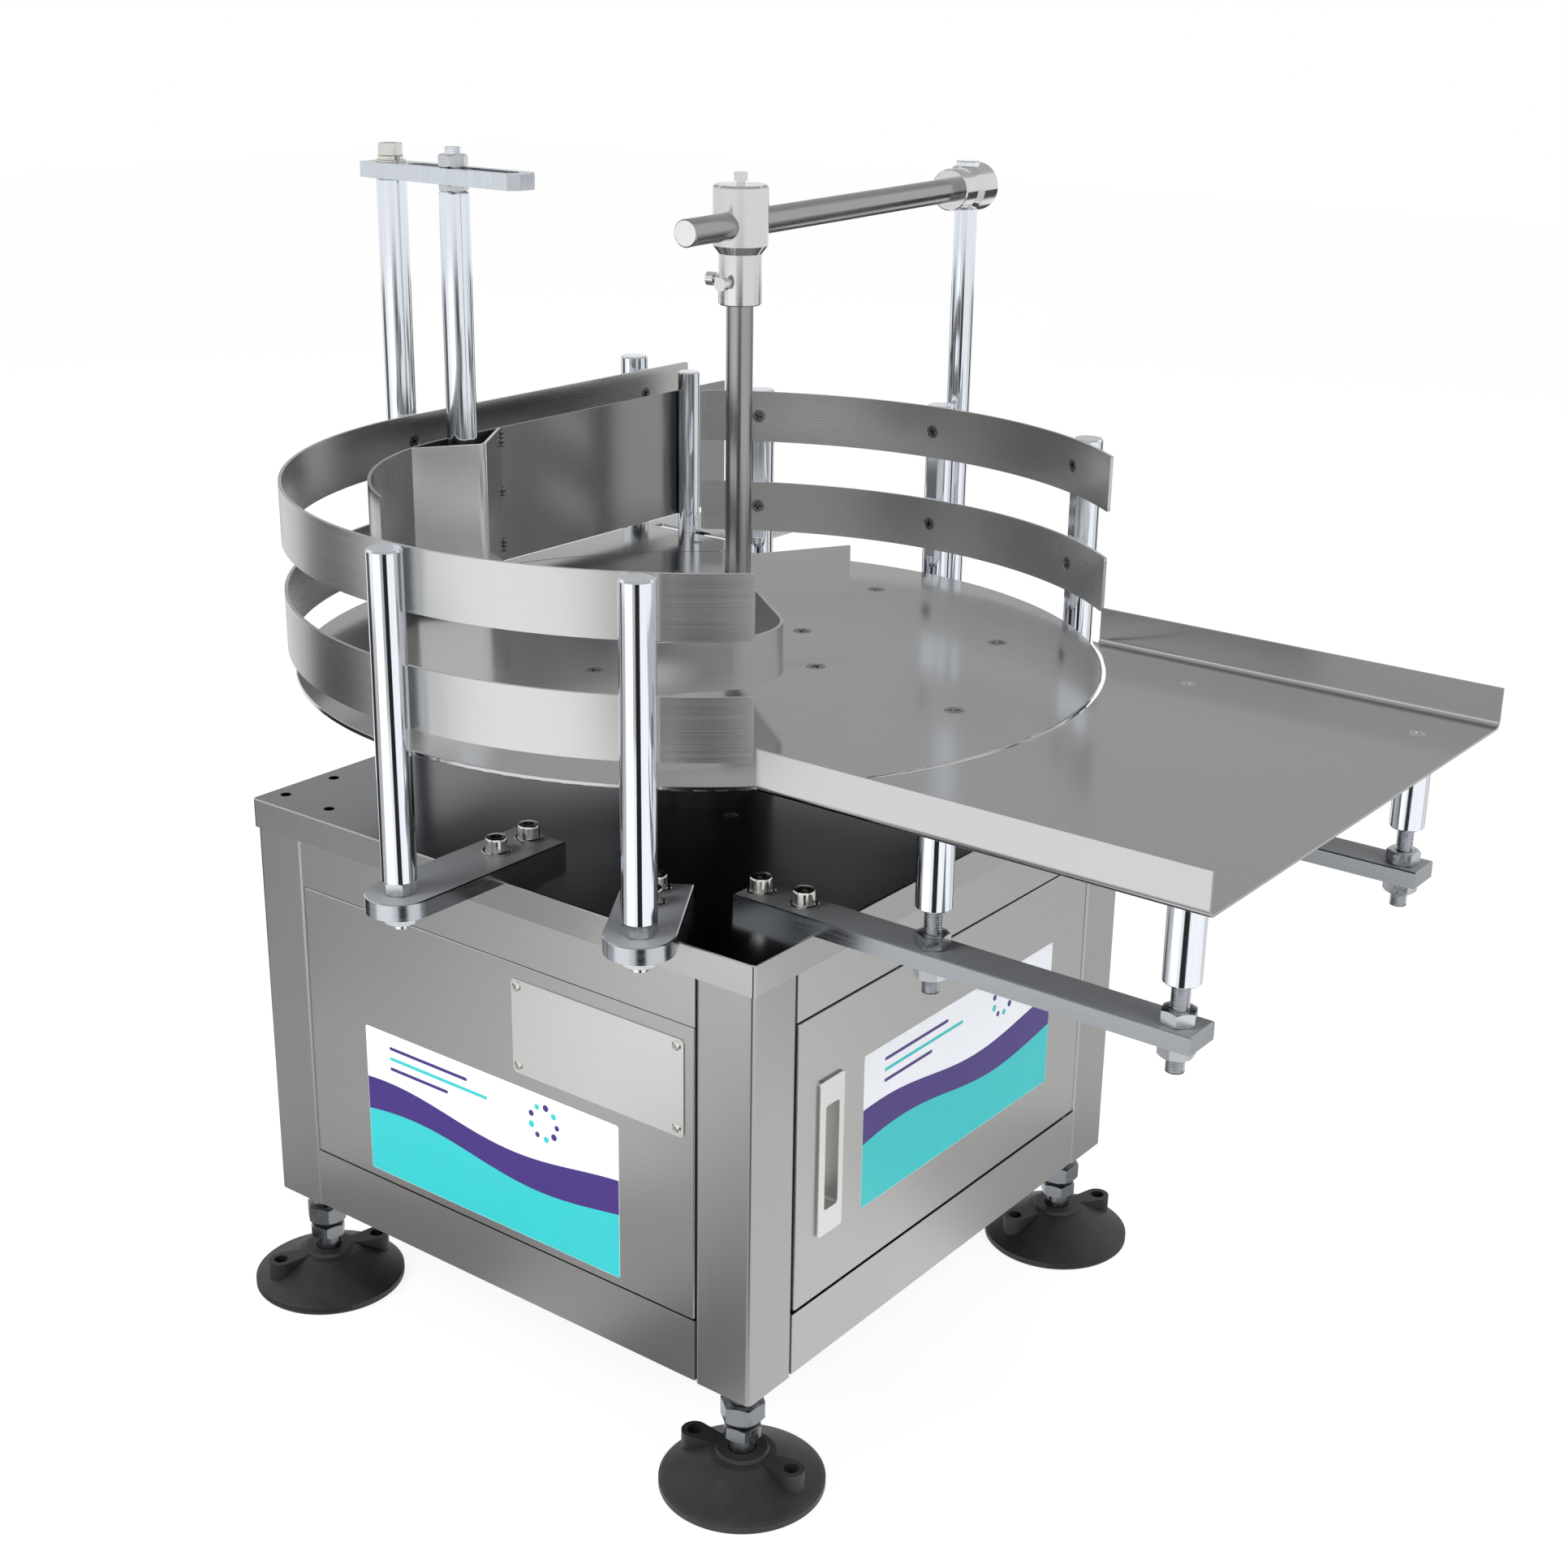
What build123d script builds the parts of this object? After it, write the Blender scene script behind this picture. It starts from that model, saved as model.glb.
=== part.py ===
from build123d import *
from math import atan2, cos, degrees, radians, sin, sqrt, tan
import os

os.makedirs("parts", exist_ok=True)

# Rotary accumulation table. Millimetres, +Z up, floor at z = 0, origin on the turntable axis.
# The front is -Y, the door and the take-off tray are at +X, the exit lane leaves towards +Y.

# Cabinet
cabinet_side = 400.0        # lid, outside
lid_top = 348.0
lid_sheet = 1.5
lid_lip = 19.0
lid_fold = 1.2              # outside radius of the folded lid edge
tube_side = 40.0
tube_wall = 2.0
tube_corner = 3.0
tube_bottom = 71.0
upper_rail_height = 48.0
lower_rail_height = 40.0
lower_rail_lift = 1.0       # lower rails start this far above the tube ends
panel_sheet = 1.5
panel_return = 18.0
panel_joint = 0.5           # open joint round a fixed panel
panel_edge = 1.0
panel_corner = 1.5
door_joint = 1.5            # open joint round the door
door_hinge_joint = 2.5      # wider joint at the hinge side
door_pin_radius = 2.5
door_pin_inset = 5.0        # pin axis from the outer face and the hinge edge of the door
door_pin_length = 16.0
handle_width = 24.0
handle_height = 101.0
handle_lip = 2.0
handle_inset = 19.0         # handle from the free edge of the door
handle_drop = 2.0           # handle below the middle of the door
handle_pocket_width = 13.0
handle_pocket_height = 67.5
handle_pocket_depth = 11.0
handle_wall = 2.0
handle_corner = 3.0
handle_edge = 1.0
accessory_pitch = 40.0      # L of three tapped holes in the lid
accessory_x = -188.0
accessory_y = -183.0
accessory_hole_radius = 3.4
spare_hole = (50.7, -33.0)  # open hole in the lid
spare_hole_radius = 4.5
over_cut = 1.0              # cuts start and end this far outside the sheet
gland_place = (-60.0, 160.0)   # along the rear side and height
gland_thread = 10.0
gland_hex = 24.0
gland_nut = 5.0
gland_tail = 3.0            # thread past the inner nut
gland_dome_radius = 10.5
gland_dome_round = 3.0
gland_bore = 4.0
gland_reach = 20.0
controller_size = (70.0, 110.0, 45.0)
controller_place = (75.0, 205.0)
controller_corner = 4.0

# Fits
running_gap = 0.05
slide_gap = 0.1
seat_gap = 0.02
hole_gap = 0.4              # bolt holes, round the bolt

# Levelling feet
pad_radius = 49.5
pad_rim = 5.0
pad_height = 25.0
pad_neck_radius = 16.0
pad_hole_circle = 34.0
pad_hole_radius = 4.5
pad_lug_radius = 8.0
pad_lug_root = 4.8          # half width of the lug at the neck
pad_lug_height = 23.0
pad_edge = 1.0
pad_step = (2.0, 1.5)       # step in and up above the rim
pad_collar = (4.0, 1.0)     # collar round the neck: step in and height
pad_top_room = 2.0
foot_turns = (5.0, 63.0, -30.0, 68.6)
ball_radius = 11.0
ball_height = 15.0
stem_radius = 8.0
stem_hex = 21.0
stem_hex_low = 34.0
stem_hex_height = 9.0
lock_nut_hex = 24.0
lock_nut_low = 46.0
lock_nut_height = 12.0
stem_top = 118.0
plug_height = 20.0
plug_lift = 1.0             # plug above the open end of its tube

# Turntable drive
disc_radius = 250.0
disc_thick = 3.0
disc_top = 437.5
hub_radius = 90.0
hub_thick = 8.0
hub_boss_radius = 30.0
hub_nose_radius = 16.0
ring_inner = 175.0
ring_outer = 205.0
ring_thick = 6.0
inner_screw_circle = 78.4
inner_screw_turn = 13.0
outer_screw_circle = 190.0
housing_radius = 46.7
housing_height = 67.0
bearing_radius = 26.0
bearing_width = 15.0
bearing_seat_depth = 18.0
spindle_radius = 12.5
spindle_end_radius = 9.0
motor_shaft_radius = 7.5
coupling_radius = 17.0
coupling_low = 285.0
coupling_length = 40.0
motor_side = 80.0
motor_radius = 39.0
gearhead_height = 45.0
motor_height = 85.0
mount_plate_top = 271.0
mount_plate_thick = 6.0
mount_plate_side = 140.0
mount_pillar_radius = 7.0
lid_shaft_hole = 20.0
housing_edge = 1.5
hub_float = 1.0             # hub above the housing
hub_nose_float = 0.3        # hub nose above the upper bearing
gearhead_boss_radius = 17.0
gearhead_corner = 5.0
motor_shaft_bore = 30.0     # depth of the bore below the gearhead's face
shaft_end_room = 2.0
mount_corner = 10.0
mount_pillar_inset = 12.0
disc_edge = 0.6
disc_screw_radius = 3.0
disc_screw_head = 6.0
disc_screw_depth = 9.0

# Brackets, posts and their hardware
bar_thick = 10.0
bracket_width = 40.0
tray_bar_width = 25.0
bar_edge = 0.6
post_radius = 10.0
post_flat = 0.8             # depth of the milled flat that carries a band
post_chamfer = 1.2
post_flat_below = 6.0       # flat below the lower band
post_rise = 116.0           # post tops above the disc
far_post_extra = 9.8        # far post above the other posts
tall_post_top = 708.7
arm_post_radius = 8.0
arm_post_rise = 18.0        # arm post above the axis of the cross rod
arm_post_pitch = 21.8       # arm post behind the rear post, along their bracket
rod_edge = 1.0
stud_radius = 5.0
stud_tail = 11.0            # stud below the underside of its bracket
nut_hex = 17.0
nut_height = 8.0
nut_flat_share = 0.95       # flat end face of a nut, as a share of its width
cap_screw_radius = 4.0
cap_head_radius = 6.5
cap_head_height = 8.0
cap_socket = 6.0
lid_screw_margin = 5.0      # no screw hole nearer to the edge of the frame
washer_radius = 8.5
washer_thick = 1.6
long_inner = 150.0          # inner end of the long brackets, from the axis
long_screws = (160.0, 187.0)
short_inner = 192.0
short_screws = (202.0, 222.0)

# Guide bands
band_thick = 2.0
band_height = 36.0
band_lifts = (14.0, 80.0)   # lower edges of the bands above the disc
band_corner = 2.0
band_screw_lift = 18.3
outer_guide_gap = 2.0       # from the disc edge to the outer guide
rear_guide_gap = 12.0
outer_guide_start = -44.5
rear_guide_ends = (48.5, 129.5)
front_post_angles = (-57.8, -90.0)
rear_post_angles = (61.0, 91.3, 120.4)
lane_length = 40.0          # lane past the edge of the disc
far_post_inset = 50.0       # far post from the end of the lane
band_screw_radius = 2.5
band_screw_head = 4.5
band_screw_length = 10.0
band_hole_radius = 2.9      # clearance hole at the bottom of the countersink

# Exit lane
lane_width = 36.5           # between the outer guide and the inner guide
step_down = 0.5             # lane plate and tray below the disc
lane_plate_thick = 2.0
lane_plate_reach = 66.0     # plate past the inner guide
rim_gap = 2.5               # plate and tray edges from the disc edge
lane_slot_inset = 52.0      # slot from the end of the lane
lane_slot_reach = (-24.5, 50.5)   # slot ends from the inner guide
lane_slot_width = 8.5
lane_bracket_reach = 35.5   # bracket from the inner guide
lane_bracket_low = 100.0
lane_bracket_screws = (125.0, 152.0)
lane_standoff_insets = (76.0, 18.0)
lane_guide_lift = 12.5      # inner guide above the disc
lane_guide_height = 93.2
lane_guide_radius = 169.0
lane_guide_end = 244.0      # angle at the free end, about the bend centre
lane_post_rise = 120.5      # carrier post above the disc
lane_post_radius = 8.0
carrier_flat = 0.4          # flat of the posts that carry the inner guide
lane_bolt_radius = 4.0
lane_bolt_hex = 13.0
lane_bolt_head = 5.5
lane_washer_radius = 12.0
lane_washer_thick = 2.0
lane_bolt_reach = 14.0
pocket_reach = 31.5         # fold of the pocket from the inner guide
pocket_fold_y = -1.0
pocket_trim = 20.0          # width cleared behind the guide sheet
pocket_ends = (-51.0, 46.0)
pocket_bend = 8.0
hanger_low = 470.0
hanger_flat_height = 11.7
hanger_flat_depth = 1.5
hanger_stud_show = 12.3     # stud above the link
jam_nut_height = 4.9
link_thick = 10.0
link_width = 25.0
link_reach = (-15.8, 122.2)       # link ends from the tall post
link_slot_reach = (18.2, 113.2)
link_slot_width = 12.0
link_corner = 6.0
link_bolt_length = 20.0
link_bolt_head_radius = 8.0
link_bolt_head = 10.0
link_bolt_socket = 8.0
link_bolt_washer_radius = 10.0
link_bolt_washer = 2.0
bolt_room = 2.0             # threaded hole past the end of its bolt

# Take-off tray
tray_sheet = 1.5
tray_flange_height = 23.0
tray_half = 179.5
tray_bend = 5.0
tray_length = 195.5         # tray past the edge of the disc
tray_flange_back = 6.4      # flange ends this far past the concave edge
tray_wing = 20.0            # floor of the tray beyond its flanges
tray_bar_inset = 43.0
tray_bar_start = 145.0
tray_bar_back = 18.5        # bar ends before the end of the tray
tray_bar_screws = (155.0, 185.0)
tray_stud_insets = (17.5, 32.0)   # from the disc side and from the end of the tray
tray_standoff_low = 380.0
tray_stud_low = 331.5
tray_screw_radius = 3.0
tray_screw_length = 10.0

# Cross arm and deflector
arm_heading = -83.75        # direction of the horizontal rod
rod_radius = 8.0
rod_level = 700.5
rod_start = 9.0             # along the rod, from the arm post axis
rod_end = 351.0
rear_clamp_radius = 16.2
rear_clamp_neck = 13.9
rear_clamp_ends = (-17.0, 26.0)
rear_clamp_taper = (4.0, 10.0)
clamp_edge = 1.5
clamp_end_edge = 0.8
front_clamp_place = 292.3
front_clamp_radius = 16.5
front_clamp_neck = 12.75
front_clamp_below = 46.2    # below the axis of the cross rod
front_clamp_shoulder = (16.5, 11.7)
front_clamp_above = 23.0
set_screw_radius = 2.5
set_screw_head = 4.0
set_screw_head_height = 5.0
set_screw_drop = 32.5
set_screw_tip_gap = 0.2
top_screw_show = 2.0
set_screw_angles = (275.4, 190.0)
set_screw_show = 4.0
deflector_lift = 23.5       # deflector above the disc
deflector_height = 30.0
deflector_tip = (37.6, 105.0)
deflector_bend = (-5.0, 30.0)
deflector_nose = (134.1, -80.3)
deflector_end = (77.5, -155.5)
deflector_radii = (12.0, 38.0)
deflector_rod_lift = 25.5   # rod above the disc
deflector_rod_drop = 24.5   # top of the rod below the axis of the cross rod
deflector_rise = 14.5       # room above the deflector rod in its clamp

# Places worked out from the sizes above
base = (Align.CENTER, Align.CENTER, Align.MIN)
tube_top = lid_top - lid_sheet
frame_half = cabinet_side / 2 - lid_sheet
tube_centre = frame_half - tube_side / 2
opening_half = frame_half - tube_side
lower_rail_low = tube_bottom + lower_rail_lift
lower_rail_top = lower_rail_low + lower_rail_height
upper_rail_low = tube_top - upper_rail_height
opening_mid = (lower_rail_top + upper_rail_low) / 2
opening_height = upper_rail_low - lower_rail_top
bar_top = lid_top + bar_thick
post_low = bar_top + nut_height
post_top = disc_top + post_rise
far_post_top = post_top + far_post_extra
arm_post_top = rod_level + arm_post_rise
band_levels = [disc_top + lift for lift in band_lifts]
outer_band_inner = disc_radius + outer_guide_gap
outer_band_outer = outer_band_inner + band_thick
rear_band_outer = disc_radius + rear_guide_gap + band_thick
outer_post_circle = outer_band_outer + post_radius - post_flat
rear_post_circle = rear_band_outer + post_radius - post_flat
arm_post_circle = rear_post_circle + arm_post_pitch
rim_radius = disc_radius + rim_gap
lane_end = disc_radius + lane_length
far_post_y = lane_end - far_post_inset
lane_plate_top = disc_top - step_down
lane_plate_outer = -disc_radius
lane_guide_face = lane_width - outer_band_inner
lane_plate_edge = lane_guide_face + lane_plate_reach
lane_bracket_x = lane_guide_face + lane_bracket_reach
lane_slot_y = lane_end - lane_slot_inset
lane_slot_ends = [lane_guide_face + reach for reach in lane_slot_reach]
lane_guide_low = disc_top + lane_guide_lift
lane_guide_top = lane_guide_low + lane_guide_height
lane_post_top = disc_top + lane_post_rise
pocket_apex = (lane_guide_face + pocket_reach, pocket_fold_y)
tray_floor_top = disc_top - step_down
tray_flange_top = tray_floor_top + tray_flange_height
tray_end = rim_radius + tray_length
tray_flange_start = sqrt(rim_radius ** 2 - tray_half ** 2) + tray_flange_back
tray_bar_y = tray_half - tray_bar_inset
tray_bar_ends = (tray_bar_start, tray_end - tray_bar_back)
tray_stud_x = (rim_radius + tray_stud_insets[0], tray_end - tray_stud_insets[1])
link_low = tall_post_top
link_top = link_low + link_thick
hanger_top = link_low - slide_gap - jam_nut_height
deflector_low = disc_top + deflector_lift
deflector_rod_top = rod_level - deflector_rod_drop
front_clamp_low = rod_level - front_clamp_below
front_clamp_top = rod_level + front_clamp_above
set_screw_level = rod_level - set_screw_drop
carrier_post_x = lane_guide_face + lane_post_radius - carrier_flat
hanger_x = lane_guide_face + post_radius - carrier_flat
tray_screw_head = tray_screw_radius + tray_sheet
lane_guide_mid = lane_guide_face - band_thick / 2
disc_bottom = disc_top - disc_thick
hub_low = disc_bottom - hub_thick
housing_top = lid_top + housing_height
band_screw_levels = [level + band_screw_lift for level in band_levels]
arm_bracket_angle = rear_post_angles[1]


def polar(radius, angle):
    return (radius * cos(radians(angle)), radius * sin(radians(angle)))


def side_plane(turn):
    # x runs along one side of the cabinet, y is up and z points outwards
    turn = radians(turn)
    return Plane(origin=(0, 0, 0), x_dir=(cos(turn), sin(turn), 0), z_dir=(sin(turn), -cos(turn), 0))


def radial_plane(x, y, z, angle):
    # x points along the angle, z is up
    turn = radians(angle)
    return Plane(origin=(x, y, z), x_dir=(cos(turn), sin(turn), 0), z_dir=(0, 0, 1))


def over_lid(x, y):
    # true where a screw goes through the lid and not past its edge
    return max(abs(x), abs(y)) < frame_half - lid_screw_margin


def rod(x, y, low, high, radius, mode=Mode.ADD):
    with Locations((x, y, low)):
        Cylinder(radius, high - low, align=base, mode=mode)


def hex_prism(x, y, low, height, across, bore=0.0):
    with BuildSketch(Plane.XY.offset(low)) as outline:
        with Locations((x, y)):
            RegularPolygon(across / 2, 6, major_radius=False)
            if bore:
                Circle(bore, mode=Mode.SUBTRACT)
    extrude(outline.sketch, amount=height)


def save(piece, name):
    piece.label = name
    export_step(piece, f"parts/{name}.step")


# Every post as x, y, direction from its band, top
outer_posts = [polar(outer_post_circle, a) + (a, post_top) for a in front_post_angles]
rear_posts = [polar(rear_post_circle, a) + (a, post_top) for a in rear_post_angles]
far_post = (-outer_post_circle, far_post_y, 180.0, far_post_top)
tall_post = (-outer_post_circle, 0.0, 180.0, tall_post_top)
arm_post = polar(arm_post_circle, arm_bracket_angle)
arm_step = polar(1.0, arm_heading)
front_clamp = (arm_post[0] + front_clamp_place * arm_step[0], arm_post[1] + front_clamp_place * arm_step[1])
band_places = [(post[0], post[1], post[2]) for post in outer_posts + rear_posts + [far_post, tall_post]]

# Bracket list: angle, inner end, studs along it, screws along it
brackets = [
    (front_post_angles[1], long_inner, (outer_post_circle,), long_screws),
    (180.0, long_inner, (outer_post_circle,), long_screws),
    (front_post_angles[0], short_inner, (outer_post_circle,), short_screws),
    (rear_post_angles[0], short_inner, (rear_post_circle,), short_screws),
    (rear_post_angles[2], short_inner, (rear_post_circle,), short_screws),
    (arm_bracket_angle, long_inner, (rear_post_circle, arm_post_circle), long_screws),
]
screw_places = [polar(r, bracket[0]) for bracket in brackets for r in bracket[3]]
screw_places += [(x, side * tray_bar_y) for side in (-1, 1) for x in tray_bar_screws]
screw_places += [(lane_bracket_x, y) for y in lane_bracket_screws]
tray_studs = [(x, side * tray_bar_y) for side in (-1, 1) for x in tray_stud_x]
post_studs = [(post[0], post[1]) for post in outer_posts + rear_posts + [far_post, tall_post]] + [arm_post]
accessory_holes = [
    (accessory_x, accessory_y),
    (accessory_x, accessory_y + accessory_pitch),
    (accessory_x + accessory_pitch, accessory_y),
]
inner_disc_screws = [polar(inner_screw_circle, inner_screw_turn + 60 * k) for k in range(6)]
outer_disc_screws = [polar(outer_screw_circle, 45 * k) for k in range(8)]
foot_places = [
    (tube_centre, -tube_centre),
    (tube_centre, tube_centre),
    (-tube_centre, tube_centre),
    (-tube_centre, -tube_centre),
]

# Door edges along the right side of the cabinet
door_low_y = -opening_half + door_joint
door_high_y = opening_half - door_hinge_joint
door_mid_y = (door_low_y + door_high_y) / 2
door_height = opening_height - 2 * door_joint
door_pin = (frame_half - door_pin_inset, door_high_y - door_pin_inset)
handle_y = door_low_y + handle_inset + handle_width / 2
handle_z = opening_mid - handle_drop


# Corner tubes
with BuildPart() as corner_posts:
    with BuildSketch(Plane.XY.offset(tube_bottom)):
        with Locations(*foot_places):
            RectangleRounded(tube_side, tube_side, tube_corner)
            Rectangle(tube_side - 2 * tube_wall, tube_side - 2 * tube_wall, mode=Mode.SUBTRACT)
    extrude(amount=tube_top - tube_bottom)
save(corner_posts.part, "corner_posts")


def rail_ring(low, height):
    # four hollow rails between the corner tubes
    for turn in (0, 90, 180, 270):
        side = side_plane(turn)
        start = side.origin - side.x_dir * opening_half + side.z_dir * tube_centre
        start += Vector(0, 0, low + height / 2)
        with BuildSketch(Plane(origin=start, x_dir=side.z_dir, z_dir=side.x_dir)) as section:
            Rectangle(tube_side, height)
            Rectangle(tube_side - 2 * tube_wall, height - 2 * tube_wall, mode=Mode.SUBTRACT)
        extrude(section.sketch, amount=2 * opening_half)


with BuildPart() as frame_rails:
    rail_ring(lower_rail_low, lower_rail_height)
    rail_ring(upper_rail_low, upper_rail_height)
    for hole in accessory_holes[1:]:
        rod(*hole, tube_top - tube_wall - over_cut, tube_top + over_cut, accessory_hole_radius, Mode.SUBTRACT)
    for wall_low in (upper_rail_low, lower_rail_top - tube_wall):
        rod(*door_pin, wall_low - over_cut, wall_low + tube_wall + over_cut, door_pin_radius, Mode.SUBTRACT)
save(frame_rails.part, "frame_rails")

# Threaded plugs that take the levelling feet
with BuildPart() as foot_plugs:
    plug_side = tube_side - 2 * tube_wall - 2 * running_gap
    with BuildSketch(Plane.XY.offset(tube_bottom + plug_lift)):
        with Locations(*foot_places):
            Rectangle(plug_side, plug_side)
            Circle(stem_radius + running_gap, mode=Mode.SUBTRACT)
    extrude(amount=plug_height)
save(foot_plugs.part, "foot_plugs")

# Lid: one folded sheet with its lip over the frame
with BuildPart() as lid:
    with BuildSketch(Plane.XY.offset(lid_top)):
        RectangleRounded(cabinet_side, cabinet_side, 2 * lid_fold)
    extrude(amount=-lid_lip)
    fillet(lid.faces().sort_by(Axis.Z)[-1].edges(), lid_fold)
    with BuildSketch(Plane.XY.offset(tube_top)):
        Rectangle(2 * frame_half, 2 * frame_half)
    extrude(amount=-lid_lip, mode=Mode.SUBTRACT)
    for place in screw_places:
        if over_lid(*place):
            rod(*place, tube_top - over_cut, lid_top + over_cut, cap_screw_radius + seat_gap, Mode.SUBTRACT)
    for hole in accessory_holes:
        rod(*hole, tube_top - over_cut, lid_top + over_cut, accessory_hole_radius, Mode.SUBTRACT)
    rod(*spare_hole, tube_top - over_cut, lid_top + over_cut, spare_hole_radius, Mode.SUBTRACT)
    rod(0, 0, tube_top - over_cut, lid_top + over_cut, lid_shaft_hole, Mode.SUBTRACT)
save(lid.part, "lid")


def folded_panel(turn, mid, width, height, outer):
    # a sheet tray whose returns point into the cabinet
    with BuildSketch(side_plane(turn).offset(outer)) as face:
        with Locations((mid, opening_mid)):
            RectangleRounded(width, height, panel_corner)
    extrude(face.sketch, amount=-panel_return)
    with BuildSketch(side_plane(turn).offset(outer - panel_sheet)) as inside:
        with Locations((mid, opening_mid)):
            Rectangle(width - 2 * panel_sheet, height - 2 * panel_sheet)
    extrude(inside.sketch, amount=-panel_return, mode=Mode.SUBTRACT)


def soften_panel(part, turn):
    outward = side_plane(turn).z_dir
    edges = part.faces().sort_by(Axis((0, 0, 0), outward))[-1].outer_wire().edges()
    fillet(edges, panel_edge)


panel_width = 2 * opening_half - 2 * panel_joint
panel_height = opening_height - 2 * panel_joint
with BuildPart() as front_panel:
    folded_panel(0, 0, panel_width, panel_height, frame_half)
    soften_panel(front_panel, 0)
save(front_panel.part, "front_panel")

with BuildPart() as left_panel:
    folded_panel(270, 0, panel_width, panel_height, frame_half)
    soften_panel(left_panel, 270)
save(left_panel.part, "left_panel")

with BuildPart() as rear_panel:
    folded_panel(180, 0, panel_width, panel_height, frame_half)
    soften_panel(rear_panel, 180)
    with BuildSketch(side_plane(180).offset(frame_half + over_cut)):
        with Locations(gland_place):
            Circle(gland_thread + running_gap)
    extrude(amount=-panel_sheet - 2 * over_cut, mode=Mode.SUBTRACT)
save(rear_panel.part, "rear_panel")

# Cable gland and its nut; the lead itself isn't part of the model
with BuildPart() as cable_gland:
    with BuildSketch(side_plane(180).offset(frame_half)):
        with Locations(gland_place):
            RegularPolygon(gland_hex / 2, 6, major_radius=False)
    extrude(amount=gland_nut)
    with BuildSketch(side_plane(180).offset(frame_half)):
        with Locations(gland_place):
            Circle(gland_dome_radius)
    extrude(amount=gland_reach)
    fillet(cable_gland.faces().sort_by(Axis.Y)[-1].edges(), gland_dome_round)
    with BuildSketch(side_plane(180).offset(frame_half)):
        with Locations(gland_place):
            Circle(gland_thread)
    extrude(amount=-panel_sheet - gland_nut - gland_tail)
    with BuildSketch(side_plane(180).offset(frame_half - panel_sheet)):
        with Locations(gland_place):
            RegularPolygon(gland_hex / 2, 6, major_radius=False)
    extrude(amount=-gland_nut)
    with BuildSketch(side_plane(180).offset(frame_half + gland_reach)):
        with Locations(gland_place):
            Circle(gland_bore)
    extrude(amount=-gland_reach - panel_sheet - gland_nut - gland_tail, mode=Mode.SUBTRACT)
save(cable_gland.part, "cable_gland")

# Speed controller on the inside of the rear panel
with BuildPart() as speed_controller:
    with BuildSketch(side_plane(180).offset(frame_half - panel_sheet)):
        with Locations(controller_place):
            RectangleRounded(controller_size[0], controller_size[1], controller_corner)
    extrude(amount=-controller_size[2])
save(speed_controller.part, "speed_controller")

# Door with its recessed pull handle
with BuildPart() as door:
    folded_panel(90, door_mid_y, door_high_y - door_low_y, door_height, frame_half)
    soften_panel(door, 90)
    with BuildSketch(side_plane(90).offset(frame_half + over_cut)):
        with Locations((handle_y, handle_z)):
            RectangleRounded(
                handle_pocket_width + 2 * handle_wall + 2 * slide_gap,
                handle_pocket_height + 2 * handle_wall + 2 * slide_gap,
                handle_corner,
            )
    extrude(amount=-panel_sheet - 2 * over_cut, mode=Mode.SUBTRACT)
    pin_hole_depth = door_joint + panel_sheet + over_cut
    for level in (lower_rail_top, upper_rail_low - pin_hole_depth):
        rod(*door_pin, level, level + pin_hole_depth, door_pin_radius + running_gap, Mode.SUBTRACT)
save(door.part, "door")

with BuildPart() as door_handle:
    with BuildSketch(side_plane(90).offset(frame_half)):
        with Locations((handle_y, handle_z)):
            RectangleRounded(handle_width, handle_height, handle_corner)
    extrude(amount=handle_lip)
    fillet(door_handle.faces().sort_by(Axis.X)[-1].edges(), handle_edge)
    with BuildSketch(side_plane(90).offset(frame_half)):
        with Locations((handle_y, handle_z)):
            RectangleRounded(
                handle_pocket_width + 2 * handle_wall,
                handle_pocket_height + 2 * handle_wall,
                handle_corner,
            )
    extrude(amount=-handle_pocket_depth - handle_wall + handle_lip)
    with BuildSketch(side_plane(90).offset(frame_half + handle_lip)):
        with Locations((handle_y, handle_z)):
            RectangleRounded(handle_pocket_width, handle_pocket_height, handle_corner - handle_edge)
    extrude(amount=-handle_pocket_depth, mode=Mode.SUBTRACT)
save(door_handle.part, "door_handle")

with BuildPart() as hinge_pins:
    for level in (upper_rail_low, lower_rail_top):
        rod(*door_pin, level - door_pin_length / 2, level + door_pin_length / 2, door_pin_radius)
save(hinge_pins.part, "hinge_pins")

# Bearing housing, bored for a bearing at each end
with BuildPart() as bearing_housing:
    rod(0, 0, lid_top, housing_top, housing_radius)
    chamfer(bearing_housing.faces().sort_by(Axis.Z)[-1].edges(), housing_edge)
    rod(0, 0, lid_top, housing_top, lid_shaft_hole, Mode.SUBTRACT)
    rod(0, 0, lid_top, lid_top + bearing_seat_depth, bearing_radius + seat_gap, Mode.SUBTRACT)
    rod(0, 0, housing_top - bearing_seat_depth, housing_top, bearing_radius + seat_gap, Mode.SUBTRACT)
save(bearing_housing.part, "bearing_housing")

upper_bearing_low = housing_top - bearing_seat_depth
with BuildPart() as bearings:
    for low in (lid_top + bearing_seat_depth - bearing_width, upper_bearing_low):
        rod(0, 0, low, low + bearing_width, bearing_radius)
        rod(0, 0, low, low + bearing_width, spindle_radius + running_gap, Mode.SUBTRACT)
save(bearings.part, "bearings")

# Gearmotor hanging under its mount
gearhead_top = mount_plate_top - mount_plate_thick
with BuildPart() as gearmotor:
    with BuildSketch(Plane.XY.offset(gearhead_top)):
        RectangleRounded(motor_side, motor_side, gearhead_corner)
    extrude(amount=-gearhead_height)
    rod(0, 0, gearhead_top - gearhead_height - motor_height, gearhead_top - gearhead_height, motor_radius)
    rod(0, 0, gearhead_top, mount_plate_top, gearhead_boss_radius)
    shaft_bore_low = gearhead_top - motor_shaft_bore
    rod(0, 0, shaft_bore_low, mount_plate_top, motor_shaft_radius + running_gap, Mode.SUBTRACT)
save(gearmotor.part, "gearmotor")

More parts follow.
